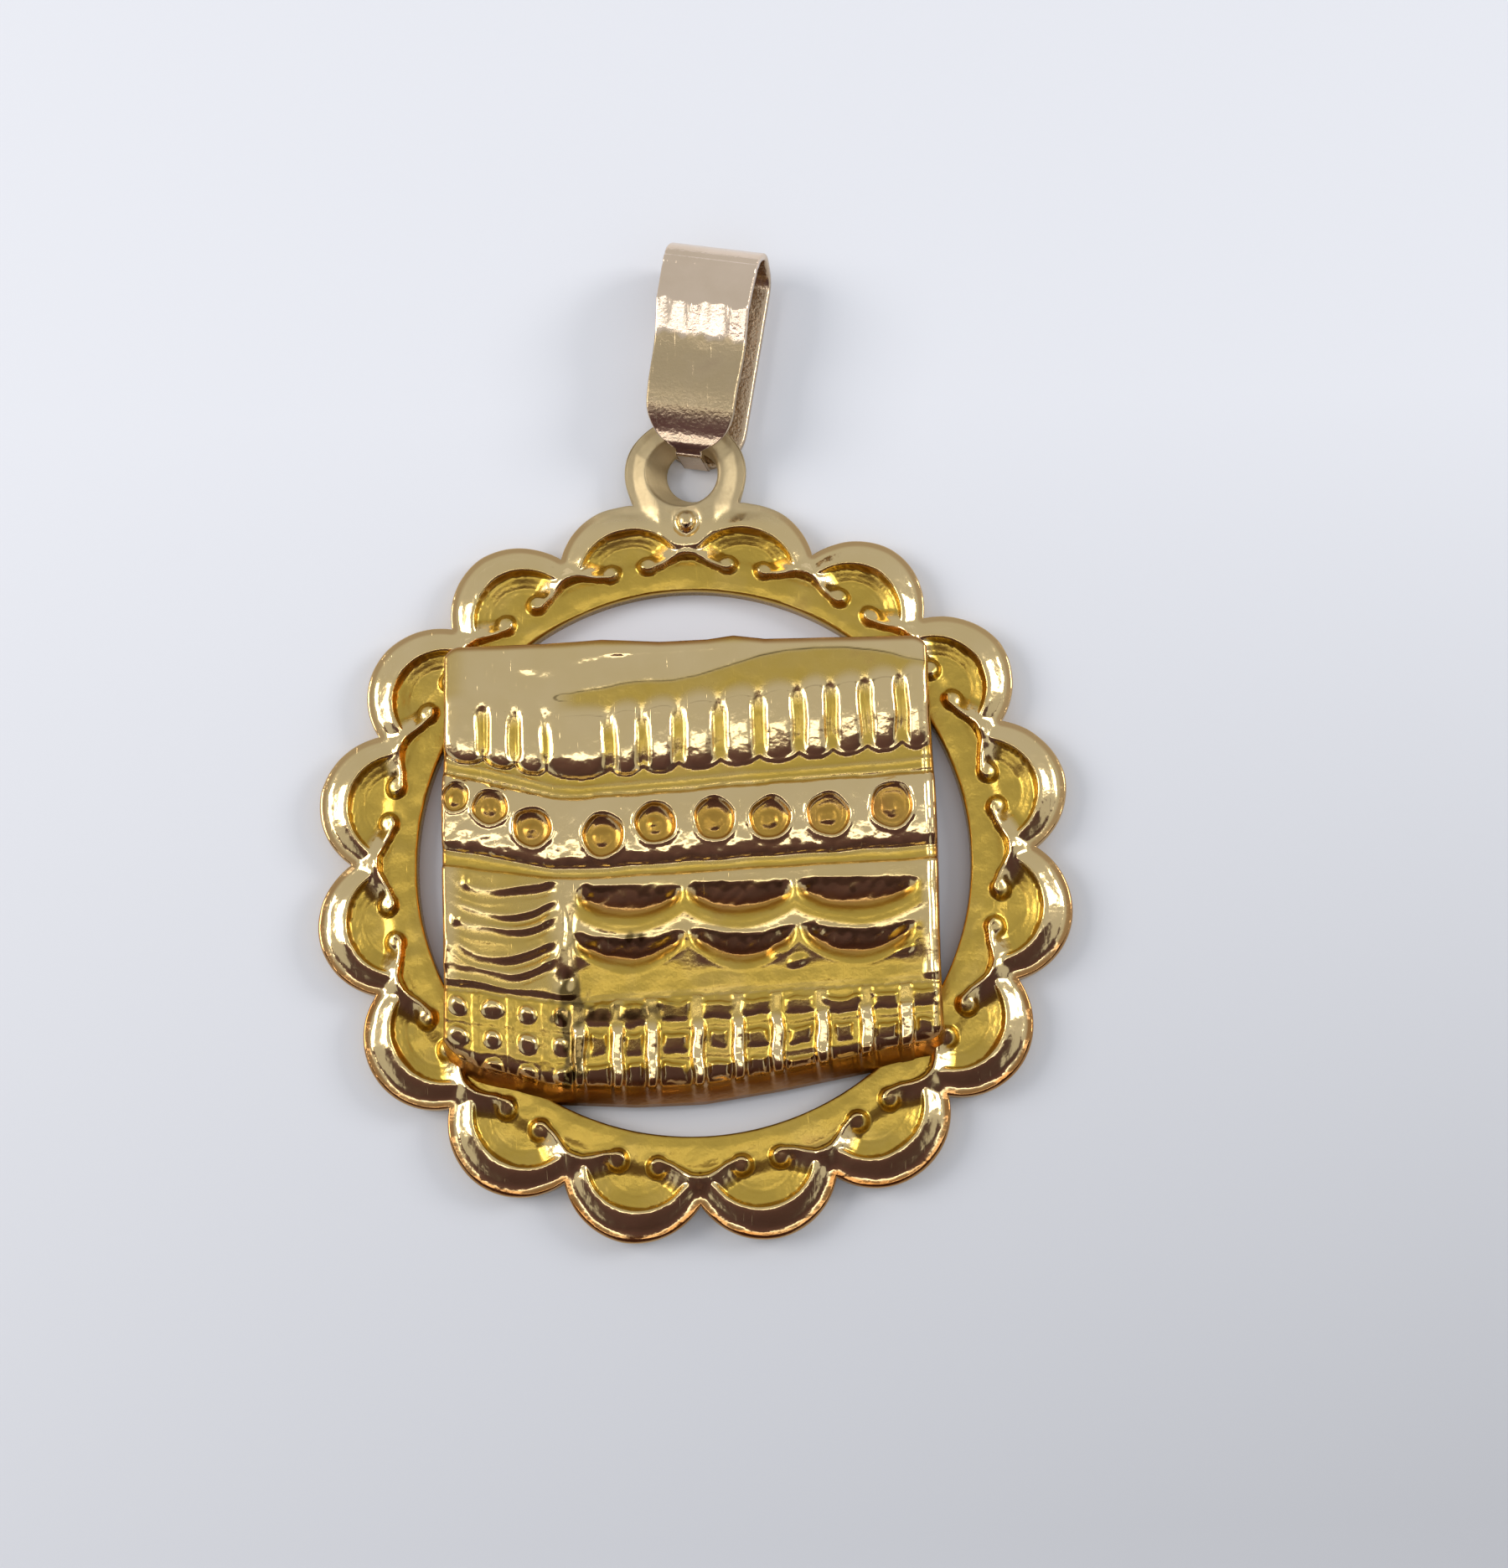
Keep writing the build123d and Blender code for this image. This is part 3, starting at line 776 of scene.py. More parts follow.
def foldShape(x, y, worn):
    # folds run from a bright knot at the left down into a dark hollow at the right
    height = np.zeros_like(x)
    narrow = ramp(cornerX - 0.25, cornerX - 1.0, x) * ramp(-10.0, -9.3, x)
    start, length = cloth["foldEnds"]
    t = (x - start) / length
    worn = worn * (1 - 0.7 * narrow)
    riseLeft, riseDeep = cloth["foldRise"]
    for high, sag, knot in cloth["folds"]:
        curve = high - sag * 3.6 * t * (1 - t) - 0.12 * t + 0.06 * np.sin(x * 2 + high * 3)
        deep = 0.08 + 0.65 * ramp(0.3, 0.75, t)
        height += narrow * (riseLeft + riseDeep * deep) * bump(y - curve, 0.15)
        height -= narrow * cloth["foldHollow"] * deep * bump(y - curve + 0.36, 0.25)
        height += narrow * 0.03 * bump(y - curve + 0.56, 0.07)
        height += knot * bump(np.hypot((x + 9.5 - 0.3 * (high + 2)) * 1.5, y - high + 0.12), 0.24)
        height += 0.6 * knot * bump(np.hypot((x + 5.95) * 1.2, y - high + 0.16), 0.2)
        # painted highlight: the crest colour along each fold's ridge
        worn = np.maximum(worn, 0.8 * narrow * bump(y - curve + 0.08, 0.16))
    return height, worn


def addCloth(x, y, skin):
    wide = ramp(cornerX + 0.1, cornerX + 0.5, x) * ramp(9.5, 9.1, x)
    drape = ramp(0.1, -0.08, y - line("beltLow", x)) * ramp(-0.16, 0.1, y - line("plinthTop", x))
    height = cloth["height"] + 0.02 * waves(x, y, 2.4, 27) + 0.006 * waves(x, y, 0.9, 30)
    height -= cloth["fall"] * ramp(-3.7, -5.0, y) * (0.4 + 0.6 * wide)
    festoons, worn = festoonShape(x, y, wide, skin)
    height += festoons
    for px, py in cloth["flatSpots"]:
        away = np.hypot(x - px, (y - py - 0.2 - 0.25 * (x - px)) * 1.7)
        height += cloth["flatRise"] * ramp(0.5, 0.1, away)
    tuckX, tuckY, tuckRise = cloth["tuck"]
    away = np.hypot((x - tuckX) * 1.2 - 0.25 * (y - tuckY - 0.15), (y - tuckY) * 0.5)
    height += tuckRise * bump(away, 0.3)
    folds, worn = foldShape(x, y, worn)
    height += folds
    # the building's edge, raised, with a hollow beside it darkened by painted shade
    pillar = ramp(-1.7, -2.2, y) * ramp(-5.5, -5.1, y)
    height += cloth["pillarRise"] * bump(x - cornerX + 0.3 - 0.14 * np.sin(y * 1.6), 0.11) * pillar
    height -= cloth["pillarHollow"] * bump(x - cornerX - 0.1, 0.22) * pillar * ramp(-2.0, -3.0, y)
    # painted shade in the hollow beside the building's edge
    skin["lined"] += 0.5 * bump(x - cornerX - 0.12 - 0.2 * waves(x, y, 1.0, 39), 0.14) * pillar
    height -= 0.2 * bump(np.hypot(x - cornerX + 0.2, y + 5.2), 0.4)
    skin["z"] = mix(skin["z"], height, drape)
    skin["worn"] = mix(skin["worn"], worn, drape)


def addPlinth(x, y, skin):
    # coursed bosses with upright ribs, falling away towards the bottom edge
    top = line("plinthLow", x)
    depth = unit((top - y) / (top - along(plate["bottomEdge"], x) + 0.05))
    base = plinth["height"] - 0.1 * depth - 0.2 * ramp(0.75, 1.0, depth)
    phase = (top - y - 0.04) / plinth["course"] + 0.03 * np.sin(x * 3)
    course = np.floor(phase)
    phase = phase - course

    # wide face: a square boss in each course between two ribs
    slot, between = cellOf(plinth["ribs"] + [plate["right"]], x)
    between -= 0.5
    odd = np.sin(slot * 2.3 + course * 4.1)
    halfAcross = np.where(course < 1, 0.38, 0.25) + 0.05 * odd
    halfUp = np.where(course < 1, 0.27, 0.28) + 0.12 * ramp(1.0, -3.0, x)
    boss = np.maximum(np.abs(between) / halfAcross, np.abs(phase - 0.45 - 0.03 * odd) / halfUp)
    boss = ramp(1.15, 0.6, boss + 0.12 * waves(x, y, 0.7, 35)) * (0.55 - 0.62 * (phase - 0.1) + 0.08 * odd)
    ribAway = x[..., None] - np.array(plinth["ribs"]) - 0.03 * np.sin(y * 4)[..., None]
    nearRib = np.min(np.abs(ribAway), axis=-1)
    tall = 0.25 + 0.75 * ramp(0.24, 0.34, depth)
    ribHeight = plinth["ribRise"] - 0.08 * (phase - 0.5) + 0.2 * ramp(0.72, 1.0, depth)
    rib = dome((plinth["ribHalf"] - nearRib) / 0.2) * tall * ribHeight
    right = base + plinth["bossRise"] * unit(boss) + 0.02 * bump(phase - 0.93, 0.12) + rib
    right += 0.05 * bump(np.abs(between) - 0.37, 0.04) * tall

    # narrow face: rounded blocks
    cell = (x + 10.25) / plinth["blockWidth"]
    block = np.floor(cell)
    cell = cell - block - 0.5
    odd = np.sin(block * 1.7 + course * 2.9)
    boss = np.hypot(cell / (0.3 + 0.04 * odd), (phase - 0.45) / 0.34)
    boss = unit(1 - boss ** 3.5) * (0.62 - 0.6 * (phase - 0.1) + 0.15 * cell)
    left = base + plinth["blockRise"] * unit(boss) + 0.02 * bump(phase - 0.94, 0.12)
    left += 0.05 * bump(np.abs(cell) - 0.46, 0.06) + 0.012 * waves(x, y, 0.5, 38)

    wide = ramp(cornerX - 0.35, cornerX + 0.15, x)
    # ribs are rubbed bare; the narrow face's bosses get the crest colour as a painted highlight
    ribWearAndBossHighlight = ramp(0.28, 0.18, nearRib) * tall * wide + 0.7 * (1 - wide) * ramp(0.05, 0.3, boss)
    skin["z"] = np.where(y < top, mix(left, right, wide), skin["z"])
    skin["worn"] = np.where(y < top, ribWearAndBossHighlight, skin["worn"])


def plaqueHeight(x, y):
    # heights and layers; the sheet is drawn by hand, so every line wanders a little
    wander = plate["wander"]
    x, y = x + wander * waves(x, y, 2.2, 41), y + wander * waves(x, y, 2.2, 42)
    skin = {name: np.zeros_like(x) for name in ("z", "worn", "stained", "lined")}
    skin["z"] += plate["ground"]
    for add in (addLedges, addPleats, addRosettes, addCloth, addPlinth):
        add(x, y, skin)
    rimX, rimWidth, rimRise = plate["rim"]
    rim = bump(x - rimX, rimWidth) * ramp(4.2, 3.8, y) * ramp(-8.0, -7.4, y)
    skin["z"] += plate["field"] + rimRise * rim
    for size, length, seed in plate["dents"]:
        skin["z"] += size * waves(x, y, length, seed)
    skin["worn"] = unit(np.maximum(skin["worn"], 0.8 * rim))
    return skin


def soften(grid):
    # averages a height grid with its neighbours
    padded = np.pad(grid, 1, mode="edge")
    return (padded[:-2, 1:-1] + padded[2:, 1:-1] + padded[1:-1, :-2] + padded[1:-1, 2:] + 4 * grid) / 8


def plaqueGrimeAndShade(x, y, lined):
    # dirt in the corner of the building and along the top course, and the painted shade in the lines, creases
    # and hollows
    beside = x - cornerX - 0.1 - 0.15 * np.sin(y * 2.1) - 0.25 * waves(x, y, 1.0, 39)
    grimeAndShade = 1.3 * bump(beside, 0.42) * ramp(-5.4, -5.9, y)
    grimeAndShade += 0.9 * bump(np.hypot((x - cornerX) * 0.9, y + 5.7), 0.6)
    inCourse = ramp(-6.1, -6.3, y) * ramp(-7.0, -6.8, y)
    grimeAndShade += 0.7 * inCourse * ramp(-4.9, -4.6, x) * ramp(0.5, -1.5, x)
    onPillar = ramp(-2.4, -3.2, y) * ramp(-5.6, -5.2, y)
    grimeAndShade += 0.5 * bump(x - cornerX - 0.15, 0.3) * onPillar
    grimeAndShade += 0.8 * bump(np.hypot((x + 2.4) * 0.7, y + 3.6), 0.35)
    return unit(np.maximum(grimeAndShade * (0.8 + 0.6 * waves(x, y, 0.8, 34)), lined))


def buildPlaque(material):
    columns, rows = plate["columns"], plate["rows"]
    # columns crowd a little towards both sides so that the edges stay crisp
    u = np.linspace(-1, 1, columns)
    u = u + 0.06 * np.sin(math.pi * u)
    v = np.linspace(0, 1, rows)
    v = v - 0.02 * np.sin(2 * math.pi * v)
    middle = (plate["left"] + plate["right"]) / 2
    x1 = middle + u * (plate["right"] - plate["left"]) / 2
    fromSide = np.minimum(x1 - plate["left"], plate["right"] - x1)
    corner = plate["corner"]
    drop = corner - np.sqrt(np.clip(corner ** 2 - np.clip(corner - fromSide, 0, corner) ** 2, 0, None))
    top = along(plate["topEdge"], x1) - drop
    low = along(plate["bottomEdge"], x1) + drop * 0.6
    x = np.repeat(x1[:, None], rows, 1)
    y = low[:, None] + (top - low)[:, None] * v[None, :]
    x = x + 0.05 * np.sin(y * 0.5 + 1) * np.sign(x) * ramp(8.0, 10.0, np.abs(x))
    skin = plaqueHeight(x, y)
    z, wearAndSheen = soften(skin["z"]), soften(skin["worn"])
    # slopes that face down the plaque get the crest's paler colour and gloss: a painted sheen set by which
    # way they face
    fall = np.gradient(z, axis=1) / np.gradient(y, axis=1)
    wearAndSheen = np.maximum(wearAndSheen, ramp(0.15, 0.4, fall))
    grimeAndShade = plaqueGrimeAndShade(x, y, skin["lined"])
    # rounded shoulder all round
    topWidth, lowWidth, sideWidth = plate["edgeWidths"]
    toTop, toLow = (top[:, None] - y) / topWidth, (y - low[:, None]) / lowWidth
    edge = np.minimum(np.minimum(toTop, toLow), fromSide[:, None] / sideWidth)
    z -= plate["edgeDrop"] * (1 - dome(edge)) ** 1.2
    # painted shade: the rounded shoulder all round takes the tarnish colour
    stainAndShade = np.maximum(skin["stained"], 0.8 * ramp(1.2, 0.5, edge))
    points = np.stack([x.ravel(), y.ravel(), z.ravel()], 1).tolist()
    worn = wearAndSheen.ravel().tolist()
    stained = stainAndShade.ravel().tolist()
    grimedAndShaded = grimeAndShade.ravel().tolist()
    index = np.arange(columns * rows).reshape(columns, rows)
    faces = []
    bridge(faces, index.T.tolist(), False)

    # splayed walls down to a flat back
    rim = list(index[:, 0]) + list(index[-1, 1:]) + list(index[-2::-1, -1]) + list(index[0, -2:0:-1])
    rimPoints = np.array([points[i] for i in rim])
    normal = rightOf(rimPoints, 3)
    leanOut, leanMore = plate["splay"]
    splay = leanOut + leanMore * unit(-normal[:, 1])
    wall = []
    for start, (px, py, pz), (nx, ny), lean in zip(rim, rimPoints, normal, splay):
        column = [start]
        for share in plate["wallRows"]:
            out = lean * share ** 0.8
            column.append(len(points))
            points.append((px + nx * out, py + ny * out, pz + (plate["foot"] - pz) * share))
        wall.append(column)
    bridge(faces, wall)
    faces.append([column[-1] for column in reversed(wall)])
    added = len(points) - len(worn)
    worn += [0.0] * added
    # painted shade: the walls take the tarnish colour almost fully
    stained += [plate["wallShade"]] * added
    grimedAndShaded += [0.0] * added
    layers = {"worn": worn, "stained": stained, "grimedAndShaded": grimedAndShaded}
    makeMesh("plaque", points, faces, layers, "medallion", "medallion", material)


# Strap bail. It is shaped lying along y, from its tip to its fold, then sheared and turned into place.
bail = {
    "thickness": 0.3,
    "tipThinning": 0.19,
    "tipFrom": (0.2, -1.1),  # the thinning grows from the first place to the second
    "tipHalf": 1.86,
    "topHalf": 2.05,
    "reach": 8.1,  # over this length it widens from tipHalf to topHalf
    "height": 3.3,
    "tipCentre": 0.2408,  # where the round tip starts
    "neckHalf": 0.55,
    "lean": 9.0,  # degrees, in the plane of the medallion
    "skew": 11.0,  # degrees, upper leaf against lower leaf
    "stepAt": 4.72,  # below this the upper leaf is worn lower
    "stepLength": 1.35,
    "stepSlope": (0.44, 0.1),  # steepness at the top, and how much it eases
    "wornFrom": (3.2, 3.5),  # from here to the fold the metal is rubbed bare
    "dent": (2.75, 0.15, 0.35, 0.05),  # along, across, size and depth
    "pressedLines": [(6.45, 0.1), (6.95, 0.08)],  # along and width
    "pressedDepth": 0.05,
    "ripple": 0.012,
    "edgeRound": 0.05,
    "place": (0.5, 18.827, 0.03),
    "spacing": 0.07,
    "acrossOuter": 45,
    "acrossInner": 25,
    # side view of the outer face: along, height, corner radius
    "side": [
        (-1.76, 0.0, 0.46),
        (-1.76, 1.98, 0.53),
        (-1.41, 2.44, 0.33),
        (0.16, 2.84, 1.65),
        (4.05, 3.3, 4.29),
        (7.29, 2.9, 1.65),
        (8.1, 1.65, 0.99),
        (7.53, 0.0, 0.99),
    ],
}


def roundedPath(corners, spacing):
    # closed polyline with each corner rounded to its radius, sampled evenly
    path = []
    count = len(corners)
    for k in range(count):
        a = np.array(corners[k - 1][:2])
        b = np.array(corners[k][:2])
        c = np.array(corners[(k + 1) % count][:2])
        radius = corners[k][2]
        u1 = (a - b) / np.linalg.norm(a - b)
        u2 = (c - b) / np.linalg.norm(c - b)
        half = math.acos(np.clip(u1 @ u2, -1, 1)) / 2
        reach = radius / math.tan(half)
        start, stop = b + u1 * reach, b + u2 * reach
        middle = (u1 + u2) / np.linalg.norm(u1 + u2)
        centre = b + middle * radius / math.sin(half)
        a1 = math.atan2(*(start - centre)[::-1])
        a2 = math.atan2(*(stop - centre)[::-1])
        turn = (a2 - a1 + math.pi) % math.tau - math.pi
        steps = max(2, int(abs(turn) * radius / spacing))
        for s in range(steps + 1):
            t = a1 + turn * s / steps
            path.append(centre + radius * np.array([math.cos(t), math.sin(t)]))
    path = np.array(path)
    gap = np.linalg.norm(np.roll(path, -1, 0) - path, axis=1)
    path = path[gap > 1e-6]
    closed = np.vstack([path, path[:1]])
    length = np.r_[0, np.cumsum(np.linalg.norm(np.diff(closed, axis=0), axis=1))]
    samples = np.arange(0, length[-1], spacing)
    return np.stack([np.interp(samples, length, closed[:, 0]), np.interp(samples, length, closed[:, 1])], 1)


def bailDent(v, across):
    # the worn lower half of the strap lies lower than the upper half
    edge = bail["stepAt"] + 0.1 * math.sin(across * 3.1) + 0.07 * math.sin(across * 7.3 + 1)
    below = np.clip(edge - v, 0, bail["stepLength"])
    slope, ease = bail["stepSlope"]
    drop = -(slope * below - ease * below ** 2) * ramp(0.6, 3.1, v)
    # a short dent below the step and lines pressed across the strap near the fold
    dentV, dentU, size, depth = bail["dent"]
    drop -= depth * bump(math.hypot((across - dentU) * 1.1, (v - dentV) * 1.6), size)
    for place, width in bail["pressedLines"]:
        drop -= bail["pressedDepth"] * bump(v - place, width)
    return drop + bail["ripple"] * math.sin(v * 1.3 + across * 0.9) * math.cos(across * 0.7)


def bailHalf(v):
    # half width along the strap: a round tip, then widening to the fold, never under the neck's
    tipHalf = bail["tipHalf"]
    tipCentre = bail["tipCentre"]
    below = unit((tipCentre - v) / tipHalf)
    widening = tipHalf + (bail["topHalf"] - tipHalf) * unit(v / bail["reach"])
    half = np.where(v < tipCentre, tipHalf * np.sqrt(1 - below ** 2), widening)
    return np.maximum(half, bail["neckHalf"])


def buildBail(material):
    path = roundedPath(bail["side"], bail["spacing"])
    normal = -rightOf(path, 2)
    pathAlong, pathHeight = path[:, 0], path[:, 1]
    half = bailHalf(pathAlong)
    # the section: outer face, rounded side, inner face, rounded side
    sideDepths = (0.12, 0.5, 0.88)
    section = [(u, 0.0) for u in np.linspace(-1, 1, bail["acrossOuter"])]
    section += [(1.0, depth) for depth in sideDepths]
    section += [(u, 1.0) for u in np.linspace(1, -1, bail["acrossInner"])]
    section += [(-1.0, depth) for depth in reversed(sideDepths)]
    points = []
    worn = []
    stained = []
    lean = math.radians(-bail["lean"])
    skew = math.tan(math.radians(bail["skew"]))
    ox, oy, oz = bail["place"]
    for k in range(len(path)):
        for u, depth in section:
            onEdge = abs(u) > 0.999 and depth in (0.0, 1.0)
            sx = u * (half[k] - bail["edgeRound"] * onEdge)
            v = pathAlong[k] - normal[k, 0] * bail["thickness"] * depth
            h = pathHeight[k] - normal[k, 1] * bail["thickness"] * depth
            onTop = ramp(0.2, 0.7, normal[k, 1]) * ramp(1.2, 2.2, pathHeight[k])
            # the outer face falls off towards the tip, where the strap is thinner
            thinned = bail["tipThinning"] * ramp(*bail["tipFrom"], v) * (1 - depth)
            h = max(h + onTop * (bailDent(v, sx) - thinned), 0.0)
            sx -= skew * (h - bail["height"] / 2)
            px = sx * math.cos(lean) - v * math.sin(lean) + ox
            py = sx * math.sin(lean) + v * math.cos(lean) + oy
            points.append((px, py, h + oz))
            tip = ramp(0.1, -0.9, v)
            edge = v + 0.1 * math.sin(sx * 5.1) + 0.06 * math.sin(sx * 11.3)
            bare = max(ramp(*bail["wornFrom"], edge), tip)
            worn.append(0.5 + onTop * (bare - 0.5))
            # painted shade and orange reflection on the outer face near the tip, where the strap turns down
            # to the loop
            stained.append(0.55 * tip if depth == 0 else 0.2)
    rings = np.arange(len(points)).reshape(len(path), len(section))
    faces = []
    bridge(faces, np.c_[rings, rings[:, 0]].tolist())
    layers = {"worn": worn, "stained": stained, "grimedAndShaded": [0.0] * len(worn)}
    makeMesh("bail_strap", points, faces, layers, "bail", "bail", material)


def sumOf(kind, swapped=False):
    def join(wire, other):
        a, b = (other, wire) if swapped else (wire, other)
        return wire.graph.add("ShaderNodeMath", {"operation": kind}, {0: a, 1: b})
    return join


class Wire:
    # a socket that can be used in sums
    def __init__(self, graph, socket):
        self.graph = graph
        self.socket = socket

    __add__ = sumOf("ADD")
    __radd__ = sumOf("ADD", True)
    __sub__ = sumOf("SUBTRACT")
    __rsub__ = sumOf("SUBTRACT", True)
    __mul__ = sumOf("MULTIPLY")
    __rmul__ = sumOf("MULTIPLY", True)
    __truediv__ = sumOf("DIVIDE")

    def clamped(self):
        return self.graph.add("ShaderNodeClamp", {}, {"Value": self})


class Graph:
    def __init__(self, name):
        self.material = bpy.data.materials.new(name)
        self.material.use_nodes = True
        self.tree = self.material.node_tree
        self.shader = self.tree.nodes["Principled BSDF"]

    def add(self, kind, settings, sockets, out=0):
        node = self.tree.nodes.new(kind)
        for key, value in settings.items():
            setattr(node, key, value)
        for key, value in sockets.items():
            self.feed(node.inputs[key], value)
        return Wire(self, node.outputs[out])

    def feed(self, socket, value):
        if isinstance(value, Wire):
            self.tree.links.new(value.socket, socket)
        else:
            socket.default_value = value

    def mixColour(self, factor, a, b):
        settings = {"data_type": "RGBA", "blend_type": "MIX"}
        return self.add("ShaderNodeMix", settings, {"Factor": factor, 6: a, 7: b}, 2)

    def finish(self, **sockets):
        for key, value in sockets.items():
            self.feed(self.shader.inputs[key.replace("_", " ")], value)
        return self.material


def goldLook(name, look):
    g = Graph(name)
    place = g.add("ShaderNodeTexCoord", {}, {}, "Object")
    place = g.add("ShaderNodeVectorMath", {"operation": "SCALE"}, {0: place, "Scale": 1 / mm})
    worn, stained, grimedAndShaded, dull = [
        g.add("ShaderNodeAttribute", {"attribute_name": layer}, {}, "Fac")
        for layer in ("worn", "stained", "grimedAndShaded", "dull")
    ]
    cloud = g.add("ShaderNodeTexNoise", {}, {"Vector": place, "Scale": look["cloudScale"], "Detail": 4.0})
    grain = g.add("ShaderNodeTexNoise", {}, {"Vector": place, "Scale": look["grainScale"], "Detail": 3.0})
    # the crest colour follows wear, and painted sheen on plaque slopes facing down, fold ridges and plinth
    # bosses
    rub = (worn * 0.9 + (cloud - 0.5) * 0.5).clamped()
    colour = g.mixColour(rub, look["hollow"], look["crest"])
    # random stains, then the stained layer's tarnish and painted shade, mixed towards the tarnish colour
    stainAndShade = ((cloud - look["stainFrom"]) * 6.0).clamped() * (1.0 - worn) * look["stainAndShade"]
    stainAndShade = (stainAndShade + stained * (0.6 + 0.8 * cloud)).clamped()
    colour = g.mixColour(stainAndShade, colour, look["tarnishAndShade"])
    # darkened by dirt and by painted shade in creases, grooves and hollows
    grimedAndShaded = ((grimedAndShaded * (0.5 + cloud) - 0.25) * 2.0).clamped()
    colour = g.mixColour(grimedAndShaded, colour, look["grimeAndShade"])
    colour = g.mixColour(dull, colour, look["dulled"])
    rough = (1.0 - rub) * (look["roughHollow"] - look["roughCrest"]) + look["roughCrest"]
    rough = rough + (grain - 0.5) * look["roughGrain"] + dull * look["roughDull"]
    stretch = {"Vector": place, "Rotation": look["scratchTurn"], "Scale": look["scratchStretch"]}
    drawn = g.add("ShaderNodeMapping", {}, stretch)
    scratch = g.add("ShaderNodeTexNoise", {}, {"Vector": drawn, "Scale": 1.0, "Detail": 2.0})
    scratch = ((scratch - look["scratchFrom"]) * 5.0).clamped()
    ripple = g.add("ShaderNodeTexNoise", {}, {"Vector": place, "Scale": look["rippleScale"], "Detail": 2.0})
    height = grain * look["grainBump"] * (1.0 - rub * 0.7)
    height = height - scratch * look["scratch"] + ripple * look["ripple"]
    normal = g.add("ShaderNodeBump", {}, {"Strength": 1.0, "Distance": mm, "Height": height})
    return g.finish(Base_Color=colour, Metallic=1.0, Roughness=rough, Normal=normal)


goldShared = {
    "scratchFrom": 0.66,
    "scratchTurn": (0, 0, 0.6),
    "scratchStretch": (14.0, 0.7, 1.0),
    "roughDull": 0.42,
}
# hollow and crest are the clean metal's colours low and high in the relief
yellowGold = goldLook("yellow gold", {
    **goldShared,
    "hollow": (0.57, 0.385, 0.07, 1),
    "crest": (0.82, 0.63, 0.33, 1),
    "tarnishAndShade": (0.37, 0.155, 0.035, 1),
    "grimeAndShade": (0.17, 0.115, 0.04, 1),
    "dulled": (0.56, 0.45, 0.26, 1),
    "stainAndShade": 0.35,
    "stainFrom": 0.62,
    "cloudScale": 0.45,
    "grainScale": 9.0,
    "grainBump": 0.008,
    "rippleScale": 1.8,
    "ripple": 0.03,
    "scratch": 0.006,
    "roughHollow": 0.32,
    "roughCrest": 0.12,
    "roughGrain": 0.08,
})
roseGold = goldLook("rose gold", {
    **goldShared,
    "hollow": (0.56, 0.43, 0.25, 1),
    "crest": (0.9, 0.72, 0.55, 1),
    "tarnishAndShade": (0.35, 0.22, 0.12, 1),
    "grimeAndShade": (0.13, 0.1, 0.07, 1),
    "dulled": (0.6, 0.45, 0.3, 1),
    "stainAndShade": 0.3,
    "stainFrom": 0.6,
    "cloudScale": 0.6,
    "grainScale": 7.0,
    "grainBump": 0.03,
    "rippleScale": 1.1,
    "ripple": 0.02,
    "scratch": 0.01,
    "roughHollow": 0.34,
    "roughCrest": 0.15,
    "roughGrain": 0.12,
})
print("mixed the two golds")

buildFrame(yellowGold)
buildPlaque(yellowGold)
buildBail(roseGold)

studio = {
    "floor": (0.795, 0.815, 0.87, 1),
    "floorRough": 0.6,
    "frontPaintedShade": 0.17,  # painted shade: how much darker the floor is painted towards the front
    "cornerPaintedShade": 0.18,  # and how much more painted shade towards the front right
    # in metres, where each starts and over what distance it grows
    "frontRange": (0.02, 0.047),
    "rightRange": (-0.031, 0.062),
    "sky": (0.95, 0.97, 1.0, 1),
    "skyStrength": 0.61,
    # cards and lamps in millimetres: centre, size, tilt in degrees, colour, glow
    "cards": {
        "dark_ceiling": ((0, -500, 300), (1050, 890), 0, (0.16, 0.075, 0.085, 1), 0.0),
        "dark_wall": ((0, -900, 180), (900, 300), 90, (0.16, 0.07, 0.07, 1), 0.0),
        "lamp_card": ((0, -32, 299), (240, 40), 0, (1, 1, 1, 1), 2.0),
    },
    # place, size, watts, colour
    "lamps": {
        "left_window": ((-300, 60, 210), 190, 0.7, (1.0, 0.96, 0.93)),
        "right_window": ((280, 90, 170), 120, 0.36, (1.0, 0.98, 0.97)),
    },
    "lens": 49.7,
    "clipStart": 0.001,
    # where the camera stands and how it is turned, in metres
    "cameraMatrix": (
        (0.99962, 0.02740, 0.00101, 0.0026804),
        (-0.02658, 0.97735, -0.20997, -0.0159741),
        (-0.00674, 0.20986, 0.97771, 0.0891470),
        (0, 0, 0, 1),
    ),
}


def plainLook(name, colour, glow):
    g = Graph(name)
    sockets = {"Base_Color": colour, "Roughness": 0.6}
    if glow:
        sockets["Emission_Color"] = colour
        sockets["Emission_Strength"] = glow
    return g.finish(**sockets)


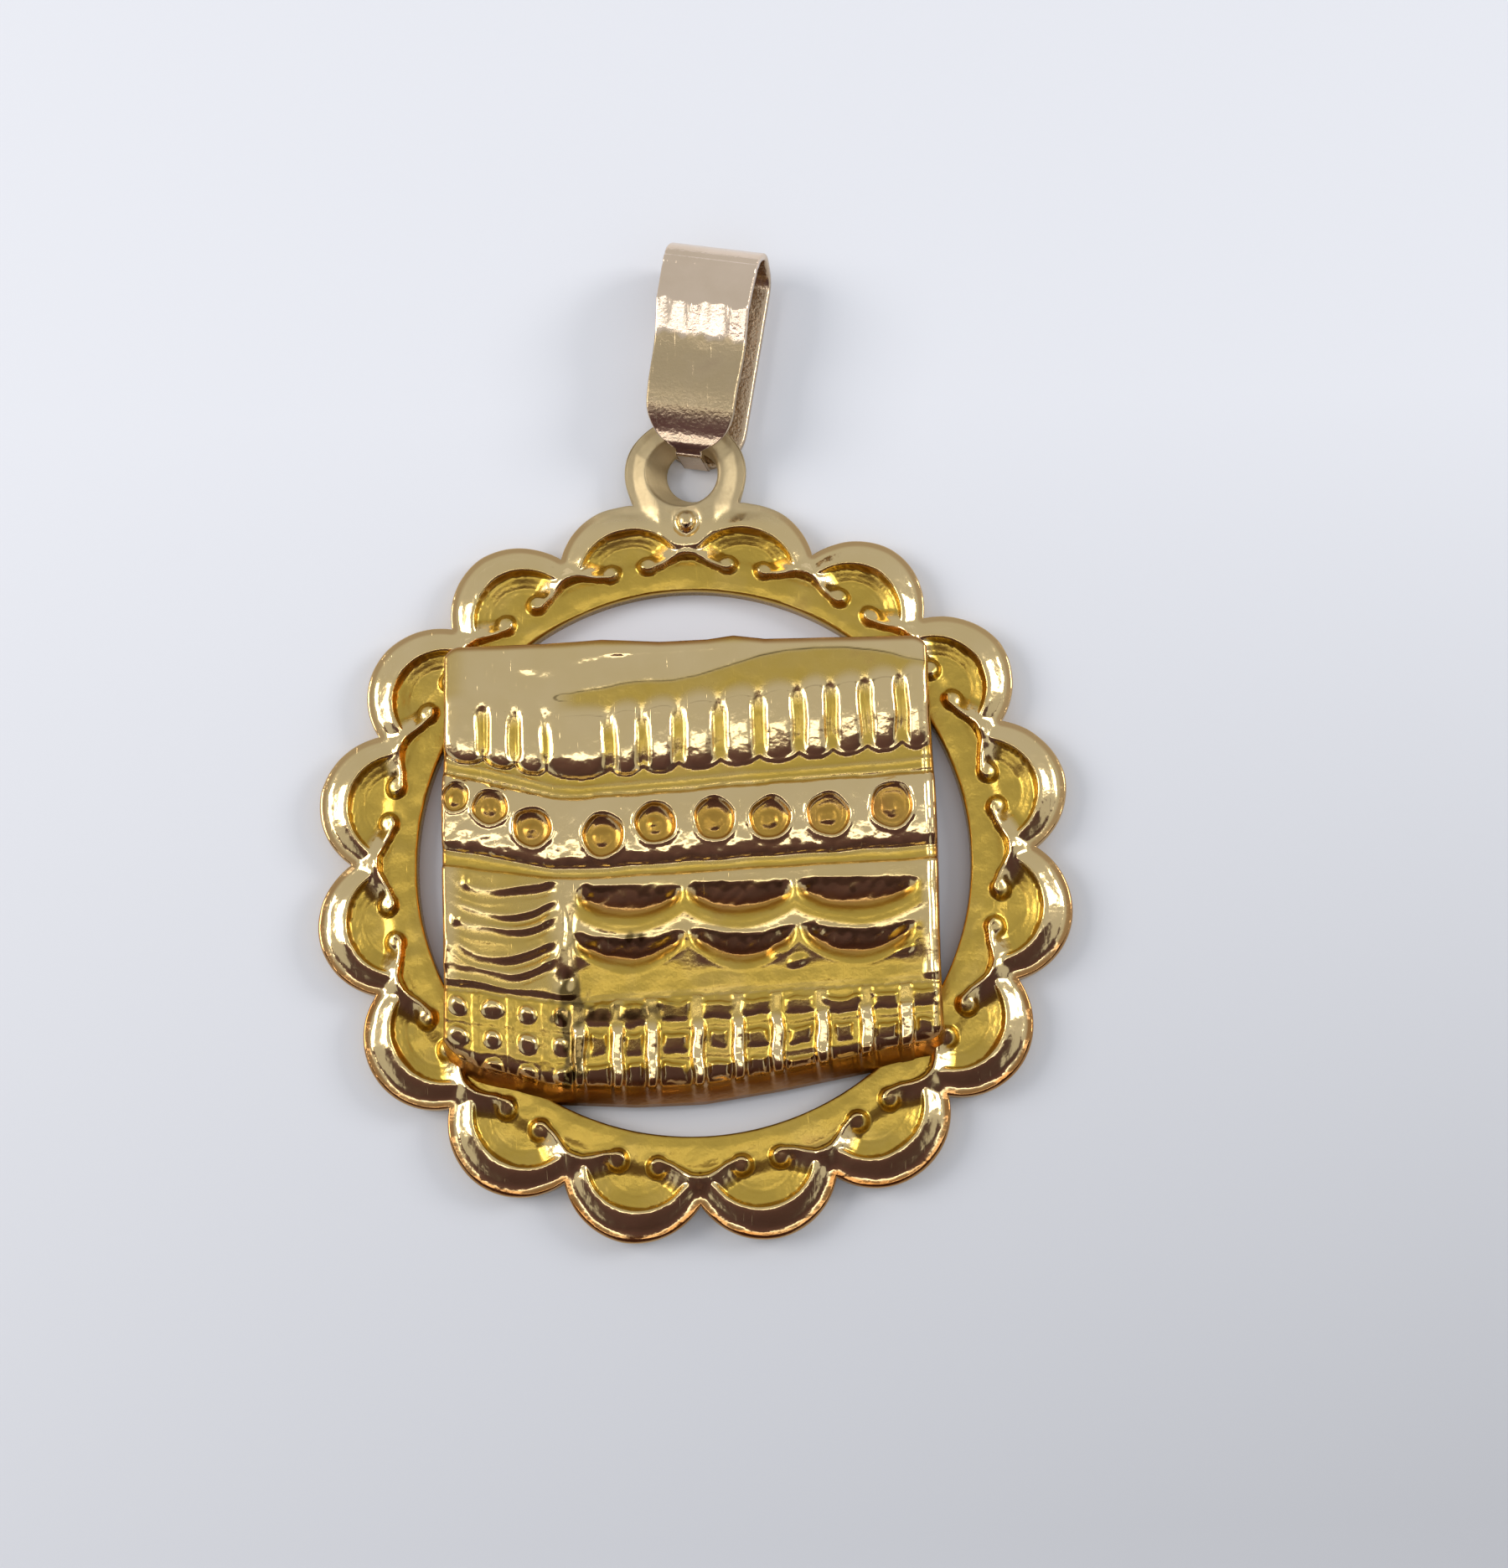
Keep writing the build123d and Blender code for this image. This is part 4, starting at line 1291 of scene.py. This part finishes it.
def floorLook():
    # pale, with painted shade making it a little darker towards the front and the front right
    g = Graph("floor")
    place = g.add("ShaderNodeTexCoord", {}, {}, "Object")
    x = g.add("ShaderNodeSeparateXYZ", {}, {"Vector": place}, "X")
    y = g.add("ShaderNodeSeparateXYZ", {}, {"Vector": place}, "Y")
    frontFrom, frontLength = studio["frontRange"]
    rightFrom, rightLength = studio["rightRange"]
    front = ((frontFrom - y) / frontLength).clamped()
    right = ((x - rightFrom) / rightLength).clamped()
    # painted shade in the floor's colour, in place of light falling off
    paintedShade = front * (right * studio["cornerPaintedShade"] + studio["frontPaintedShade"])
    colour = g.mixColour(paintedShade, studio["floor"], (0, 0, 0, 1))
    return g.finish(Base_Color=colour, Roughness=studio["floorRough"])


def card(name, centre, size, tilt, colour, glow):
    # a flat card that only the metal's reflections see
    turn = (math.radians(tilt), 0, 0)
    bpy.ops.mesh.primitive_plane_add(size=1, location=[c * mm for c in centre], rotation=turn)
    plane = bpy.context.object
    plane.name = name
    plane.scale = (size[0] * mm, size[1] * mm, 1)
    plane.data.materials.append(plainLook(name, colour, glow))
    plane.visible_camera = False
    plane.visible_diffuse = False
    plane.visible_shadow = False


def lamp(name, place, size, power, colour):
    data = bpy.data.lights.new(name, "AREA")
    data.size = size * mm
    data.energy = power
    data.color = colour
    light = bpy.data.objects.new(name, data)
    bpy.context.scene.collection.objects.link(light)
    light.location = [c * mm for c in place]
    light.rotation_mode = "QUATERNION"
    light.rotation_quaternion = light.location.to_track_quat("Z", "Y")


bpy.ops.mesh.primitive_plane_add(size=2.0, location=(0, 0, 0))
floor = bpy.context.object
floor.name = "floor"
floor.data.materials.append(floorLook())
for name, values in studio["cards"].items():
    card(name, *values)
for name, values in studio["lamps"].items():
    lamp(name, *values)

world = bpy.data.worlds.new("studio")
bpy.context.scene.world = world
world.use_nodes = True
background = world.node_tree.nodes["Background"]
background.inputs["Color"].default_value = studio["sky"]
background.inputs["Strength"].default_value = studio["skyStrength"]
print("set the floor, cards, lamps and sky")

camera = bpy.data.objects.new("camera", bpy.data.cameras.new("camera"))
bpy.context.scene.collection.objects.link(camera)
camera.data.lens = studio["lens"]
camera.data.clip_start = studio["clipStart"]
camera.matrix_world = Matrix(studio["cameraMatrix"])
bpy.context.scene.camera = camera
bpy.context.scene.view_settings.view_transform = "Standard"
print("placed the camera")
